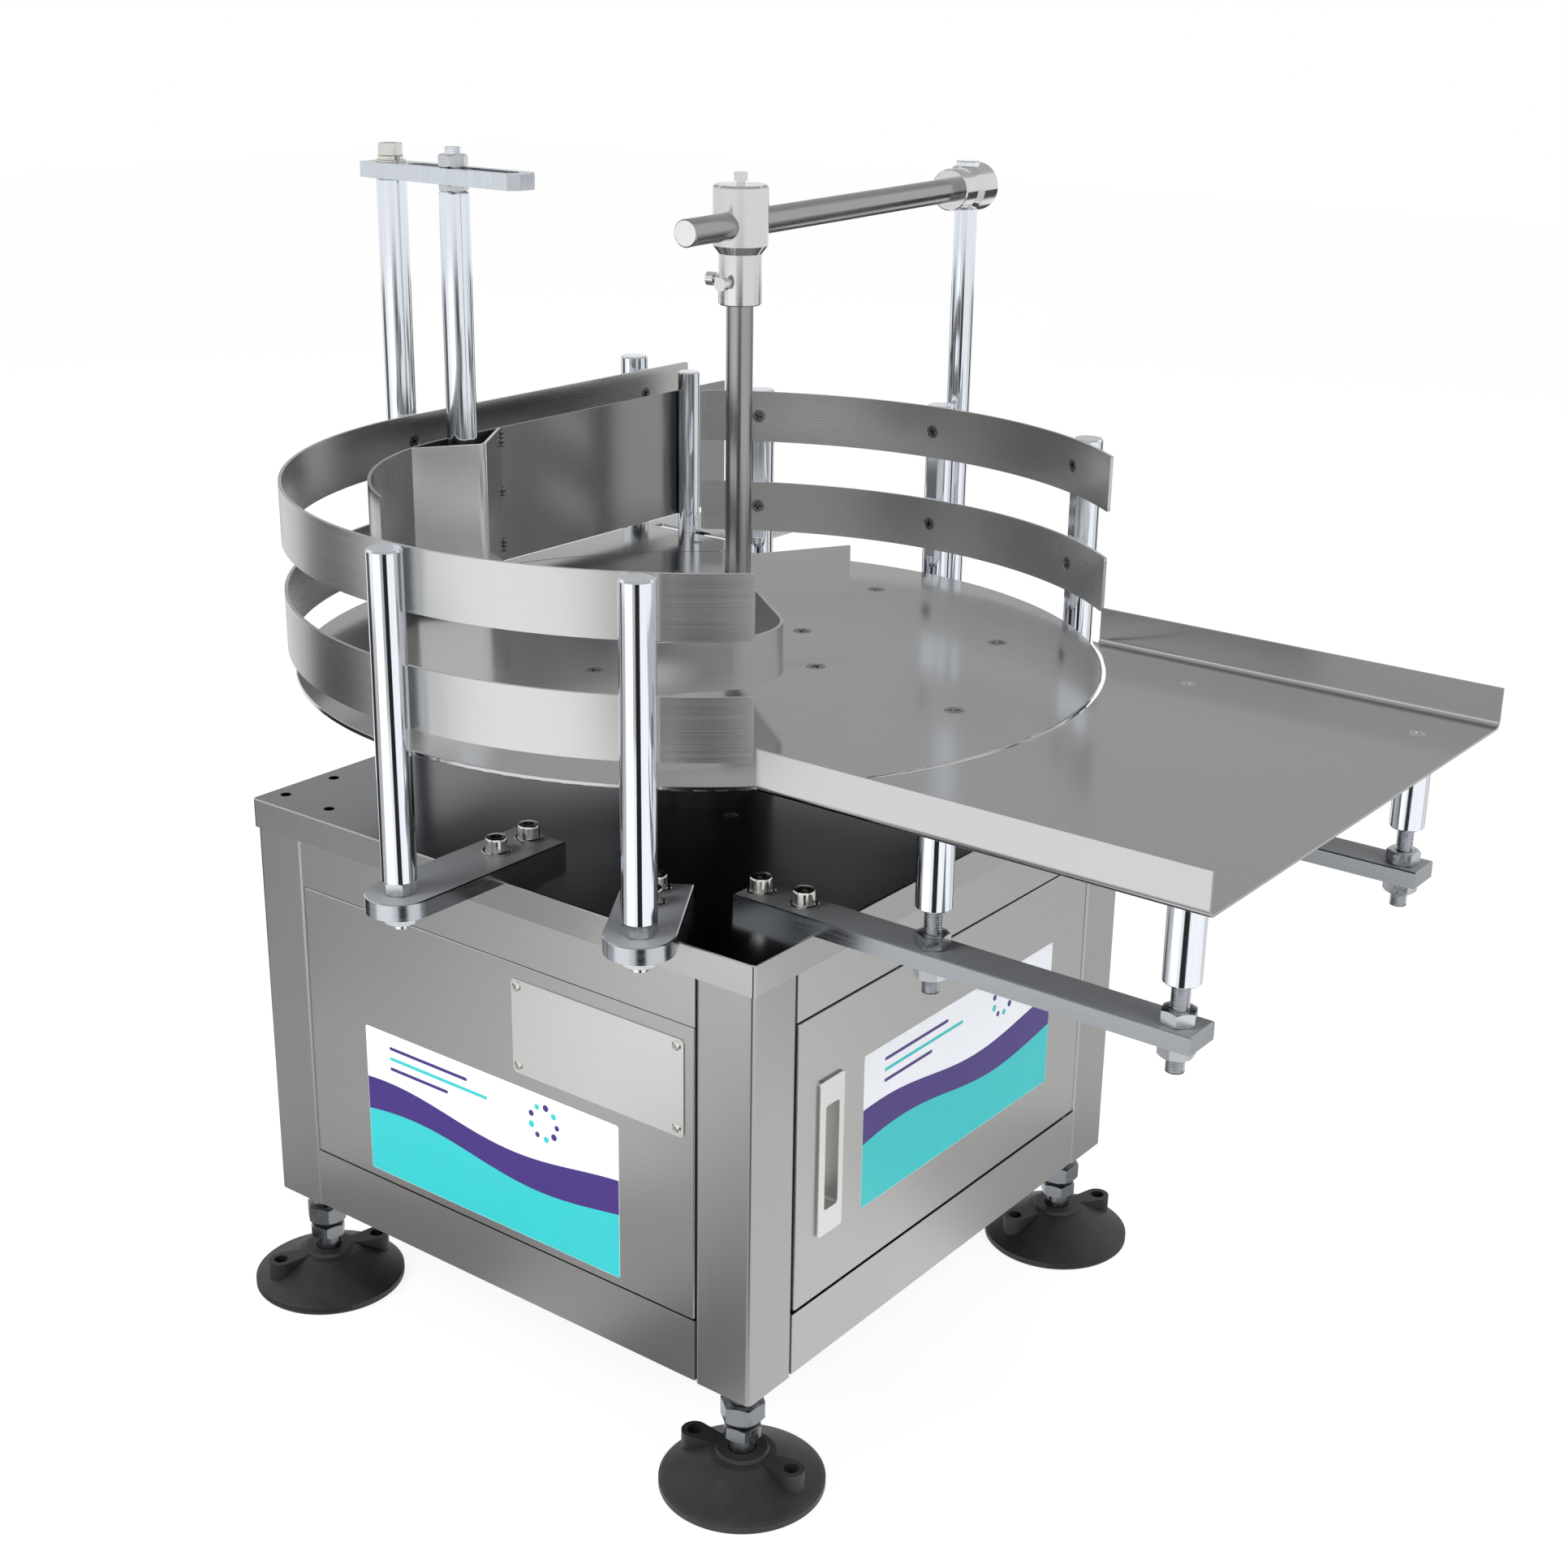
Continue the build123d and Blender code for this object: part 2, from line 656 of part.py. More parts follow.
with BuildPart() as motor_mount:
    with BuildSketch(Plane.XY.offset(gearhead_top)):
        RectangleRounded(mount_plate_side, mount_plate_side, mount_corner)
        Circle(gearhead_boss_radius + slide_gap, mode=Mode.SUBTRACT)
    extrude(amount=mount_plate_thick)
    pillar_pitch = mount_plate_side - 2 * mount_pillar_inset
    with BuildSketch(Plane.XY.offset(mount_plate_top)):
        with GridLocations(pillar_pitch, pillar_pitch, 2, 2):
            Circle(mount_pillar_radius)
    extrude(amount=tube_top - mount_plate_top)
save(motor_mount.part, "motor_mount")

# Turning parts
with BuildPart() as drive_shaft:
    coupling_mid = coupling_low + coupling_length / 2
    rod(0, 0, coupling_mid + shaft_end_room, tube_top - hub_float, spindle_end_radius)
    rod(0, 0, tube_top - hub_float, disc_bottom - hub_float, spindle_radius)
    rod(0, 0, shaft_bore_low + shaft_end_room, coupling_mid - shaft_end_room, motor_shaft_radius)
save(drive_shaft.part, "drive_shaft")

with BuildPart() as shaft_coupling:
    rod(0, 0, coupling_low, coupling_low + coupling_length, coupling_radius)
    chamfer(shaft_coupling.edges().filter_by(GeomType.CIRCLE), 1.0)
    rod(0, 0, coupling_low, coupling_mid, motor_shaft_radius + seat_gap, Mode.SUBTRACT)
    rod(0, 0, coupling_mid, coupling_low + coupling_length, spindle_end_radius + seat_gap, Mode.SUBTRACT)
save(shaft_coupling.part, "shaft_coupling")

with BuildPart() as hub:
    rod(0, 0, hub_low, disc_bottom, hub_radius)
    rod(0, 0, housing_top + hub_float, hub_low, hub_boss_radius)
    rod(0, 0, upper_bearing_low + bearing_width + hub_nose_float, housing_top + hub_float, hub_nose_radius)
    rod(0, 0, upper_bearing_low, disc_bottom, spindle_radius + seat_gap, Mode.SUBTRACT)
    for place in inner_disc_screws:
        rod(*place, hub_low, disc_bottom, disc_screw_radius + seat_gap, Mode.SUBTRACT)
save(hub.part, "hub")

with BuildPart() as stiffening_ring:
    with BuildSketch(Plane.XY.offset(disc_bottom)):
        Circle(ring_outer)
        Circle(ring_inner, mode=Mode.SUBTRACT)
        with Locations(*outer_disc_screws):
            Circle(disc_screw_radius + seat_gap, mode=Mode.SUBTRACT)
    extrude(amount=-ring_thick)
save(stiffening_ring.part, "stiffening_ring")

with BuildPart() as disc:
    rod(0, 0, disc_bottom, disc_top, disc_radius)
    fillet(disc.edges().filter_by(GeomType.CIRCLE), disc_edge)
    with Locations(*[Location((x, y, disc_top)) for x, y in inner_disc_screws + outer_disc_screws]):
        CounterSinkHole(disc_screw_radius + seat_gap, disc_screw_head + slide_gap, counter_sink_angle=90)
save(disc.part, "disc")


def countersunk_screw(plane, radius, head, length):
    # head face on the plane, shank pointing along its z direction
    with BuildSketch(plane) as face:
        Circle(head)
    with BuildSketch(plane.offset(head - radius)) as neck:
        Circle(radius)
    loft([face.sketch.face(), neck.sketch.face()])
    extrude(neck.sketch, amount=length - head + radius)


with BuildPart() as disc_screws:
    for x, y in inner_disc_screws + outer_disc_screws:
        down = Plane(origin=(x, y, disc_top), x_dir=(1, 0, 0), z_dir=(0, 0, -1))
        countersunk_screw(down, disc_screw_radius, disc_screw_head, disc_screw_depth)
save(disc_screws.part, "disc_screws")


# Flat-bar brackets on the lid, each with a rounded end about its outermost post
with BuildPart() as post_brackets:
    for angle, inner, studs, screws in brackets:
        with BuildSketch(radial_plane(0, 0, lid_top, angle)):
            with Locations(((inner + studs[-1]) / 2, 0)):
                Rectangle(studs[-1] - inner, bracket_width)
            with Locations((studs[-1], 0)):
                Circle(bracket_width / 2)
            with Locations(*[(stud, 0) for stud in studs]):
                Circle(stud_radius + seat_gap, mode=Mode.SUBTRACT)
            with Locations(*[(screw, 0) for screw in screws]):
                Circle(cap_screw_radius + hole_gap, mode=Mode.SUBTRACT)
        extrude(amount=bar_thick)
    for face in post_brackets.faces().filter_by(Plane.XY).group_by(Axis.Z)[-1]:
        chamfer(face.outer_wire().edges(), bar_edge)
save(post_brackets.part, "post_brackets")

with BuildPart() as lane_bracket:
    with BuildSketch(Plane.XY.offset(lid_top)):
        with Locations((lane_bracket_x, (lane_bracket_low + lane_end) / 2)):
            Rectangle(bracket_width, lane_end - lane_bracket_low)
        with Locations(((lane_bracket_x - outer_post_circle) / 2, far_post_y)):
            Rectangle(outer_post_circle + lane_bracket_x, bracket_width)
        with Locations((-outer_post_circle, far_post_y)):
            Circle(bracket_width / 2)
            Circle(stud_radius + seat_gap, mode=Mode.SUBTRACT)
        with Locations(*[(lane_bracket_x, y) for y in lane_bracket_screws]):
            Circle(cap_screw_radius + hole_gap, mode=Mode.SUBTRACT)
    extrude(amount=bar_thick)
    chamfer(lane_bracket.faces().sort_by(Axis.Z)[-1].outer_wire().edges(), bar_edge)
save(lane_bracket.part, "lane_bracket")

with BuildPart() as tray_bars:
    for side in (-1, 1):
        with BuildSketch(Plane.XY.offset(lid_top)):
            with Locations((sum(tray_bar_ends) / 2, side * tray_bar_y)):
                Rectangle(tray_bar_ends[1] - tray_bar_ends[0], tray_bar_width)
            with Locations(*[(x, side * tray_bar_y) for x in tray_stud_x]):
                Circle(stud_radius + hole_gap, mode=Mode.SUBTRACT)
            with Locations(*[(x, side * tray_bar_y) for x in tray_bar_screws]):
                Circle(cap_screw_radius + hole_gap, mode=Mode.SUBTRACT)
        extrude(amount=bar_thick)
    for face in tray_bars.faces().filter_by(Plane.XY).group_by(Axis.Z)[-1]:
        chamfer(face.outer_wire().edges(), bar_edge)
save(tray_bars.part, "tray_bars")

# Socket cap screws and washers that hold the brackets and bars down
with BuildPart() as bracket_screws:
    head_low = bar_top + washer_thick
    for x, y in screw_places:
        rod(x, y, bar_top, head_low, washer_radius)
        rod(x, y, bar_top - over_cut, head_low, cap_screw_radius, Mode.SUBTRACT)
    for x, y in screw_places:
        rod(x, y, tube_top if over_lid(x, y) else lid_top, head_low, cap_screw_radius - seat_gap)
        rod(x, y, head_low, head_low + cap_head_height, cap_head_radius)
        with BuildSketch(Plane.XY.offset(head_low + cap_head_height)):
            with Locations((x, y)):
                RegularPolygon(cap_socket / 2, 6, major_radius=False)
        extrude(amount=-cap_head_height / 2, mode=Mode.SUBTRACT)
save(bracket_screws.part, "bracket_screws")


# Round posts with a stud below and a milled flat where the bands seat
def guide_post(x, y, facing, top):
    rod(x, y, post_low, top - post_chamfer, post_radius)
    with Locations((x, y, top - post_chamfer)):
        Cone(post_radius, post_radius - post_chamfer, post_chamfer, align=base)
    rod(x, y, lid_top - stud_tail, post_low, stud_radius)
    step = polar(post_radius - post_flat, facing)
    flat_low = band_levels[0] - post_flat_below
    flat_top = min(top, post_top)
    flat = radial_plane(x - step[0], y - step[1], flat_low, facing)
    with BuildSketch(flat) as cut:
        with Locations((-post_flat, 0)):
            Rectangle(2 * post_flat, 2 * post_radius)
    extrude(cut.sketch, amount=flat_top - flat_low + over_cut, mode=Mode.SUBTRACT)
    for level in band_screw_levels:
        drill = Plane(origin=(x - step[0], y - step[1], level), z_dir=(*polar(1, facing), 0))
        with BuildSketch(drill) as hole:
            Circle(band_screw_radius + seat_gap)
        extrude(hole.sketch, amount=band_screw_length, mode=Mode.SUBTRACT)


with BuildPart() as guide_posts:
    for post in outer_posts + rear_posts + [far_post]:
        guide_post(*post)
save(guide_posts.part, "guide_posts")

with BuildPart() as tall_guide_post:
    guide_post(*tall_post)
    bore_low = link_low - link_bolt_length - bolt_room
    rod(*tall_post[:2], bore_low, link_low, stud_radius + seat_gap, Mode.SUBTRACT)
save(tall_guide_post.part, "tall_post")

with BuildPart() as arm_support_post:
    rod(*arm_post, post_low, arm_post_top, arm_post_radius)
    chamfer(arm_support_post.faces().sort_by(Axis.Z)[-1].edges(), rod_edge)
    rod(*arm_post, lid_top - stud_tail, post_low, stud_radius)
save(arm_support_post.part, "arm_post")

def chamfered_nut(height):
    # hexagon nut for the studs, its corners turned off at both ends
    corner = nut_hex / 2 / cos(radians(30))
    flat = nut_hex / 2 * nut_flat_share
    drop = (corner - flat) * tan(radians(30))
    with BuildPart() as nut:
        with BuildSketch():
            RegularPolygon(nut_hex / 2, 6, major_radius=False)
            Circle(stud_radius + running_gap, mode=Mode.SUBTRACT)
        extrude(amount=height)
        with BuildSketch(Plane.XZ):
            with BuildLine():
                Polyline(
                    (0, 0),
                    (flat, 0),
                    (corner, drop),
                    (corner, height - drop),
                    (flat, height),
                    (0, height),
                    close=True,
                )
            make_face()
        revolve(axis=Axis.Z, mode=Mode.INTERSECT)
    return nut.part


# Nuts above and below every bracket, and the bolt on top of the tall post
full_nut = chamfered_nut(nut_height)
with BuildPart() as hex_nuts:
    for level in (bar_top, lid_top - nut_height):
        with Locations(*[(x, y, level) for x, y in post_studs + tray_studs]):
            add(full_nut)
save(hex_nuts.part, "hex_nuts")

with BuildPart() as link_bolt:
    head_low = link_top + link_bolt_washer
    rod(*tall_post[:2], link_top, head_low, link_bolt_washer_radius)
    rod(*tall_post[:2], link_low - link_bolt_length, head_low, stud_radius)
    rod(*tall_post[:2], head_low, head_low + link_bolt_head, link_bolt_head_radius)
    with BuildSketch(Plane.XY.offset(head_low + link_bolt_head)):
        with Locations(tall_post[:2]):
            RegularPolygon(link_bolt_socket / 2, 6, major_radius=False)
    extrude(amount=-link_bolt_head / 2, mode=Mode.SUBTRACT)
save(link_bolt.part, "link_bolt")


# Guide bands: an upper and a lower strip of bent sheet on each set of posts
def round_band_ends(part):
    short = part.edges().filter_by(lambda edge: abs(edge.length - band_thick) < 1e-4)
    fillet(short, band_corner)


def drill_bands(places):
    # countersinks that start a little in front of the curved face of the band
    proud = band_thick / 4
    for x, y, facing in places:
        step = polar(post_radius - post_flat + band_thick + proud, facing)
        for level in band_screw_levels:
            with Locations(Plane(origin=(x - step[0], y - step[1], level), z_dir=(*polar(-1, facing), 0))):
                CounterSinkHole(band_hole_radius, band_screw_head + slide_gap + proud, 2 * band_thick, 90)


with BuildPart() as outer_guide:
    mid = (outer_band_inner + outer_band_outer) / 2
    for level in band_levels:
        with BuildSketch(Plane.XY.offset(level)):
            with BuildLine():
                sweep_round = CenterArc((0, 0), mid, outer_guide_start, -180 - outer_guide_start)
                Line(sweep_round @ 1, (-mid, lane_end))
            trace(line_width=band_thick)
        extrude(amount=band_height)
    round_band_ends(outer_guide)
    drill_bands([place for place in band_places if place[2] in front_post_angles + (180.0,)])
save(outer_guide.part, "outer_guide")

with BuildPart() as rear_guide:
    mid = rear_band_outer - band_thick / 2
    for level in band_levels:
        with BuildSketch(Plane.XY.offset(level)):
            with BuildLine():
                CenterArc((0, 0), mid, rear_guide_ends[0], rear_guide_ends[1] - rear_guide_ends[0])
            trace(line_width=band_thick)
        extrude(amount=band_height)
    round_band_ends(rear_guide)
    drill_bands([place for place in band_places if place[2] in rear_post_angles])
save(rear_guide.part, "rear_guide")

# Exit lane plate beside the disc
edge_near = sqrt(rim_radius ** 2 - lane_plate_edge ** 2)
edge_far = sqrt(rim_radius ** 2 - lane_plate_outer ** 2)
near_angle = degrees(atan2(edge_near, lane_plate_edge))
far_angle = degrees(atan2(edge_far, lane_plate_outer))
standoff_places = [(lane_bracket_x, lane_end - inset) for inset in lane_standoff_insets]
with BuildPart() as lane_plate:
    with BuildSketch(Plane.XY.offset(lane_plate_top - lane_plate_thick)):
        with BuildLine():
            rim = CenterArc((0, 0), rim_radius, near_angle, far_angle - near_angle)
            Polyline(rim @ 1, (lane_plate_outer, lane_end), (lane_plate_edge, lane_end), rim @ 0)
        make_face()
        with Locations((sum(lane_slot_ends) / 2, lane_slot_y)):
            SlotOverall(lane_slot_ends[1] - lane_slot_ends[0], lane_slot_width, mode=Mode.SUBTRACT)
    extrude(amount=lane_plate_thick)
    with Locations(*[Location((x, y, lane_plate_top)) for x, y in standoff_places]):
        CounterSinkHole(band_screw_radius + seat_gap, band_screw_head + slide_gap, counter_sink_angle=90)
save(lane_plate.part, "lane_plate")

with BuildPart() as lane_standoffs:
    for x, y in standoff_places:
        rod(x, y, bar_top, lane_plate_top - lane_plate_thick, post_radius)
        bore_low = lane_plate_top - band_screw_length
        rod(x, y, bore_low, lane_plate_top, band_screw_radius + seat_gap, Mode.SUBTRACT)
save(lane_standoffs.part, "lane_standoffs")

# Countersunk screws of the bands and of the lane plate
with BuildPart() as countersunk_screws:
    for x, y, facing in band_places:
        step = polar(post_radius - post_flat + band_thick, facing)
        for level in band_screw_levels:
            seat = Plane(origin=(x - step[0], y - step[1], level), z_dir=(*polar(1, facing), 0))
            countersunk_screw(seat, band_screw_radius, band_screw_head, band_screw_length)
    for x, y in standoff_places:
        down = Plane(origin=(x, y, lane_plate_top), x_dir=(1, 0, 0), z_dir=(0, 0, -1))
        countersunk_screw(down, band_screw_radius, band_screw_head, band_screw_length)
save(countersunk_screws.part, "countersunk_screws")

# Clamp bolt that slides in the slot of the lane plate
lane_bolt_seat = lane_plate_top - lane_plate_thick - slide_gap
lane_post_low = lane_plate_top + slide_gap
with BuildPart() as lane_clamp_bolt:
    rod(carrier_post_x, lane_slot_y, lane_bolt_seat - lane_washer_thick, lane_bolt_seat, lane_washer_radius)
    rod(carrier_post_x, lane_slot_y, lane_bolt_seat, lane_post_low + lane_bolt_reach, lane_bolt_radius)
    hex_prism(carrier_post_x, lane_slot_y, lane_bolt_seat - lane_washer_thick - lane_bolt_head,
              lane_bolt_head, lane_bolt_hex)
save(lane_clamp_bolt.part, "lane_clamp_bolt")


# Inner lane guide: straight along the exit, then bent round over the disc
def carrier_flat_cut(y, radius, low, top):
    with BuildSketch(Plane.XY.offset(low)) as cut:
        with Locations((lane_guide_face + slide_gap - over_cut, y)):
            Rectangle(2 * over_cut, 2 * radius)
    extrude(cut.sketch, amount=top - low, mode=Mode.SUBTRACT)


with BuildPart() as lane_guide:
    with BuildSketch(Plane.XY.offset(lane_guide_low)):
        with BuildLine():
            straight = Line((lane_guide_mid, lane_end), (lane_guide_mid, 0))
            bend_centre = (lane_guide_mid + lane_guide_radius, 0)
            CenterArc(bend_centre, lane_guide_radius, 180, lane_guide_end - 180)
        trace(line_width=band_thick)
    extrude(amount=lane_guide_height)
save(lane_guide.part, "lane_guide")

with BuildPart() as guide_pocket:
    low_slope = (pocket_apex[1] - pocket_ends[0]) / (pocket_apex[0] - lane_guide_face)
    high_slope = (pocket_ends[1] - pocket_apex[1]) / (pocket_apex[0] - lane_guide_face)
    back = lane_guide_face - 3 * band_thick
    with BuildSketch(Plane.XY.offset(lane_guide_low)):
        with BuildLine():
            Polyline(
                (back, pocket_ends[0] + low_slope * (back - lane_guide_face)),
                pocket_apex,
                (back, pocket_ends[1] - high_slope * (back - lane_guide_face)),
                close=True,
            )
        make_face()
        fillet(vertices().sort_by(Axis.X)[-1], pocket_bend)
        offset(amount=-band_thick, mode=Mode.SUBTRACT)
        with BuildLine():
            Line((lane_guide_face - pocket_trim / 2, lane_end), (lane_guide_face - pocket_trim / 2, 0))
            trim_radius = lane_guide_radius - (band_thick - pocket_trim) / 2
            CenterArc(bend_centre, trim_radius, 180, lane_guide_end - 180)
        trace(line_width=pocket_trim, mode=Mode.SUBTRACT)
    extrude(amount=lane_guide_height)
save(guide_pocket.part, "guide_pocket")

with BuildPart() as lane_guide_post:
    rod(carrier_post_x, lane_slot_y, lane_post_low, lane_post_top, lane_post_radius)
    chamfer(lane_guide_post.faces().sort_by(Axis.Z)[-1].edges(), rod_edge)
    carrier_flat_cut(lane_slot_y, lane_post_radius, lane_post_low, lane_post_top)
    bore_top = lane_post_low + lane_bolt_reach + bolt_room
    rod(carrier_post_x, lane_slot_y, lane_post_low, bore_top, lane_bolt_radius + running_gap, Mode.SUBTRACT)
save(lane_guide_post.part, "lane_guide_post")

with BuildPart() as hanger_rod:
    rod(hanger_x, 0, hanger_low, hanger_top, post_radius)
    chamfer(hanger_rod.edges().filter_by(GeomType.CIRCLE), rod_edge)
    carrier_flat_cut(0, post_radius, hanger_low, lane_guide_top)
    with BuildSketch(Plane.XY.offset(hanger_top - hanger_flat_height)):
        with Locations((hanger_x, post_radius), (hanger_x, -post_radius)):
            Rectangle(2 * post_radius, 2 * hanger_flat_depth)
    extrude(amount=hanger_flat_height, mode=Mode.SUBTRACT)
    rod(hanger_x, 0, hanger_top, link_top + hanger_stud_show, stud_radius)
save(hanger_rod.part, "hanger_rod")

jam_nut = chamfered_nut(jam_nut_height)
with BuildPart() as hanger_nuts:
    with Locations((hanger_x, 0, hanger_top)):
        add(jam_nut)
    with Locations((hanger_x, 0, link_top + slide_gap)):
        add(full_nut)
save(hanger_nuts.part, "hanger_nuts")

# Slotted link from the tall post to the hanger rod
with BuildPart() as link_bar:
    with BuildSketch(Plane.XY.offset(link_low)):
        with Locations((tall_post[0] + sum(link_reach) / 2, 0)):
            Rectangle(link_reach[1] - link_reach[0], link_width)
        chamfer(vertices().group_by(Axis.X)[-1], link_corner)
        with Locations((tall_post[0] + sum(link_slot_reach) / 2, 0)):
            SlotOverall(link_slot_reach[1] - link_slot_reach[0], link_slot_width, mode=Mode.SUBTRACT)
        with Locations((tall_post[0], 0)):
            Circle(stud_radius + seat_gap, mode=Mode.SUBTRACT)
    extrude(amount=link_thick)
save(link_bar.part, "link_bar")

# Take-off tray: one folded sheet with a concave edge round the disc
with BuildPart() as tray:
    tray_floor_low = tray_floor_top - tray_sheet
    tray_start = tray_flange_start - tray_wing
    inside_top = tray_flange_top + over_cut
    with BuildSketch(Plane.YZ.offset(tray_start)):
        with Locations((0, (tray_floor_low + tray_flange_top) / 2)):
            Rectangle(2 * tray_half, tray_flange_top - tray_floor_low)
        fillet(vertices().group_by(Axis.Y)[0], tray_bend)
    extrude(amount=tray_end - tray_start)
    with BuildSketch(Plane.YZ.offset(tray_start)):
        with Locations((0, (tray_floor_top + inside_top) / 2)):
            Rectangle(2 * (tray_half - tray_sheet), inside_top - tray_floor_top)
        fillet(vertices().group_by(Axis.Y)[0], tray_bend - tray_sheet)
    extrude(amount=tray_end - tray_start, mode=Mode.SUBTRACT)
    rod(0, 0, tray_floor_low - over_cut, inside_top, rim_radius, Mode.SUBTRACT)
    with BuildSketch(Plane.XY.offset(tray_floor_top + seat_gap)):
        with Locations((tray_flange_start / 2, 0)):
            Rectangle(tray_flange_start, 3 * tray_half)
    extrude(amount=2 * tray_flange_height, mode=Mode.SUBTRACT)
    with Locations(*[Location((x, y, tray_floor_top)) for x, y in tray_studs]):
        CounterSinkHole(tray_screw_radius + seat_gap, tray_screw_head + slide_gap, counter_sink_angle=90)
save(tray.part, "tray")

with BuildPart() as tray_standoffs:
    for x, y in tray_studs:
        rod(x, y, tray_standoff_low, tray_floor_low, post_radius)
        rod(x, y, tray_stud_low, tray_standoff_low, stud_radius)
        bore_low = tray_floor_low - tray_screw_length
        rod(x, y, bore_low, tray_floor_low, tray_screw_radius + seat_gap, Mode.SUBTRACT)
save(tray_standoffs.part, "tray_standoffs")

with BuildPart() as tray_screws:
    for x, y in tray_studs:
        down = Plane(origin=(x, y, tray_floor_top), x_dir=(1, 0, 0), z_dir=(0, 0, -1))
        countersunk_screw(down, tray_screw_radius, tray_screw_head, tray_screw_length)
save(tray_screws.part, "tray_screws")

# Cross arm: a clamp that turns on the arm post, and the horizontal rod in it
arm_origin = Vector(*arm_post, rod_level)
arm_dir = Vector(*arm_step, 0)
arm_side = Plane(origin=arm_origin, x_dir=arm_dir, z_dir=(arm_step[1], -arm_step[0], 0))
arm_cross = Plane(origin=arm_origin, x_dir=(0, 0, 1), z_dir=arm_dir)
with BuildPart() as rear_clamp:
    with BuildSketch(arm_side):
        with BuildLine():
            Polyline(
                (rear_clamp_ends[0], 0),
                (rear_clamp_ends[0], rear_clamp_radius - clamp_edge),
                (rear_clamp_ends[0] + clamp_edge, rear_clamp_radius),
                (rear_clamp_taper[0], rear_clamp_radius),
                (rear_clamp_taper[1], rear_clamp_neck),
                (rear_clamp_ends[1] - clamp_end_edge, rear_clamp_neck),
                (rear_clamp_ends[1], rear_clamp_neck - clamp_end_edge),
                (rear_clamp_ends[1], 0),
                close=True,
            )
        make_face()
    revolve(axis=Axis(arm_origin, arm_dir))
    bore_half = rear_clamp_radius + over_cut
    rod(*arm_post, rod_level - bore_half, rod_level + bore_half, arm_post_radius + running_gap, Mode.SUBTRACT)
    with BuildSketch(arm_cross.offset(rod_start - slide_gap)):
        Circle(rod_radius + seat_gap)
    extrude(amount=rear_clamp_ends[1], mode=Mode.SUBTRACT)
save(rear_clamp.part, "rear_clamp")

with BuildPart() as cross_rod:
    with BuildSketch(arm_cross.offset(rod_start)):
        Circle(rod_radius)
    extrude(amount=rod_end - rod_start)
    chamfer(cross_rod.edges().filter_by(GeomType.CIRCLE), clamp_end_edge)
save(cross_rod.part, "cross_rod")

with BuildPart() as front_clamp_body:
    with BuildSketch(Plane(origin=(*front_clamp, 0), x_dir=(1, 0, 0), z_dir=(0, -1, 0))):
        with BuildLine():
            Polyline(
                (0, front_clamp_low),
                (front_clamp_neck - clamp_end_edge, front_clamp_low),
                (front_clamp_neck, front_clamp_low + clamp_end_edge),
                (front_clamp_neck, rod_level - front_clamp_shoulder[0]),
                (front_clamp_radius, rod_level - front_clamp_shoulder[1]),
                (front_clamp_radius, front_clamp_top - clamp_edge),
                (front_clamp_radius - clamp_edge, front_clamp_top),
                (0, front_clamp_top),
                close=True,
            )
        make_face()
    revolve(axis=Axis((*front_clamp, 0), (0, 0, 1)))
    bore_half = front_clamp_radius + over_cut
    with BuildSketch(arm_cross.offset(front_clamp_place - bore_half)):
        Circle(rod_radius + running_gap)
    extrude(amount=2 * bore_half, mode=Mode.SUBTRACT)
    bore_top = deflector_rod_top + deflector_rise
    rod(*front_clamp, front_clamp_low, bore_top, rod_radius + running_gap, Mode.SUBTRACT)
    rod(*front_clamp, rod_level, front_clamp_top, set_screw_radius + seat_gap, Mode.SUBTRACT)
    for angle in set_screw_angles:
        inward = Plane(origin=(*front_clamp, set_screw_level), z_dir=(*polar(1, angle), 0))
        with BuildSketch(inward):
            Circle(set_screw_radius + seat_gap)
        extrude(amount=front_clamp_radius, mode=Mode.SUBTRACT)
save(front_clamp_body.part, "front_clamp")

with BuildPart() as clamp_screws:
    tip = rod_radius + set_screw_tip_gap
    top_screw_low = rod_level + tip
    head_seat = front_clamp_top + top_screw_show
    rod(*front_clamp, top_screw_low, head_seat, set_screw_radius)
    rod(*front_clamp, head_seat, head_seat + set_screw_head_height, set_screw_head)
    for angle in set_screw_angles:
        inward = Plane(origin=(*front_clamp, set_screw_level), z_dir=(*polar(1, angle), 0))
        with BuildSketch(inward.offset(tip)):
            Circle(set_screw_radius)
        extrude(amount=front_clamp_neck + set_screw_show - tip)
        with BuildSketch(inward.offset(front_clamp_neck + set_screw_show)):
            Circle(set_screw_head)
        extrude(amount=set_screw_head_height)
save(clamp_screws.part, "clamp_screws")

# Deflector band, and the rod that carries it with a half-round lower end
with BuildPart() as deflector:
    with BuildSketch(Plane.XY.offset(deflector_low)):
        with BuildLine():
            corners = (deflector_tip, deflector_bend, deflector_nose, deflector_end)
            FilletPolyline(*corners, radius=deflector_radii)
        trace(line_width=band_thick)
    extrude(amount=deflector_height)
save(deflector.part, "deflector")

blade_run = Vector(*deflector_nose) - Vector(*deflector_bend)
blade_heading = degrees(atan2(blade_run.Y, blade_run.X))
blade_normal = Vector(-sin(radians(blade_heading)), cos(radians(blade_heading)))
blade_offset = (Vector(*deflector_bend) - Vector(*front_clamp)).dot(blade_normal) - band_thick / 2
with BuildPart() as deflector_rod:
    rod(*front_clamp, disc_top + deflector_rod_lift, deflector_rod_top, rod_radius)
    chamfer(deflector_rod.edges().filter_by(GeomType.CIRCLE), clamp_end_edge)
    flat_foot = front_clamp[0] + blade_normal.X * blade_offset, front_clamp[1] + blade_normal.Y * blade_offset
    with BuildSketch(radial_plane(*flat_foot, deflector_low, blade_heading)):
        with Locations((0, rod_radius)):
            Rectangle(3 * rod_radius, 2 * rod_radius)
    extrude(amount=deflector_height, mode=Mode.SUBTRACT)
save(deflector_rod.part, "deflector_rod")


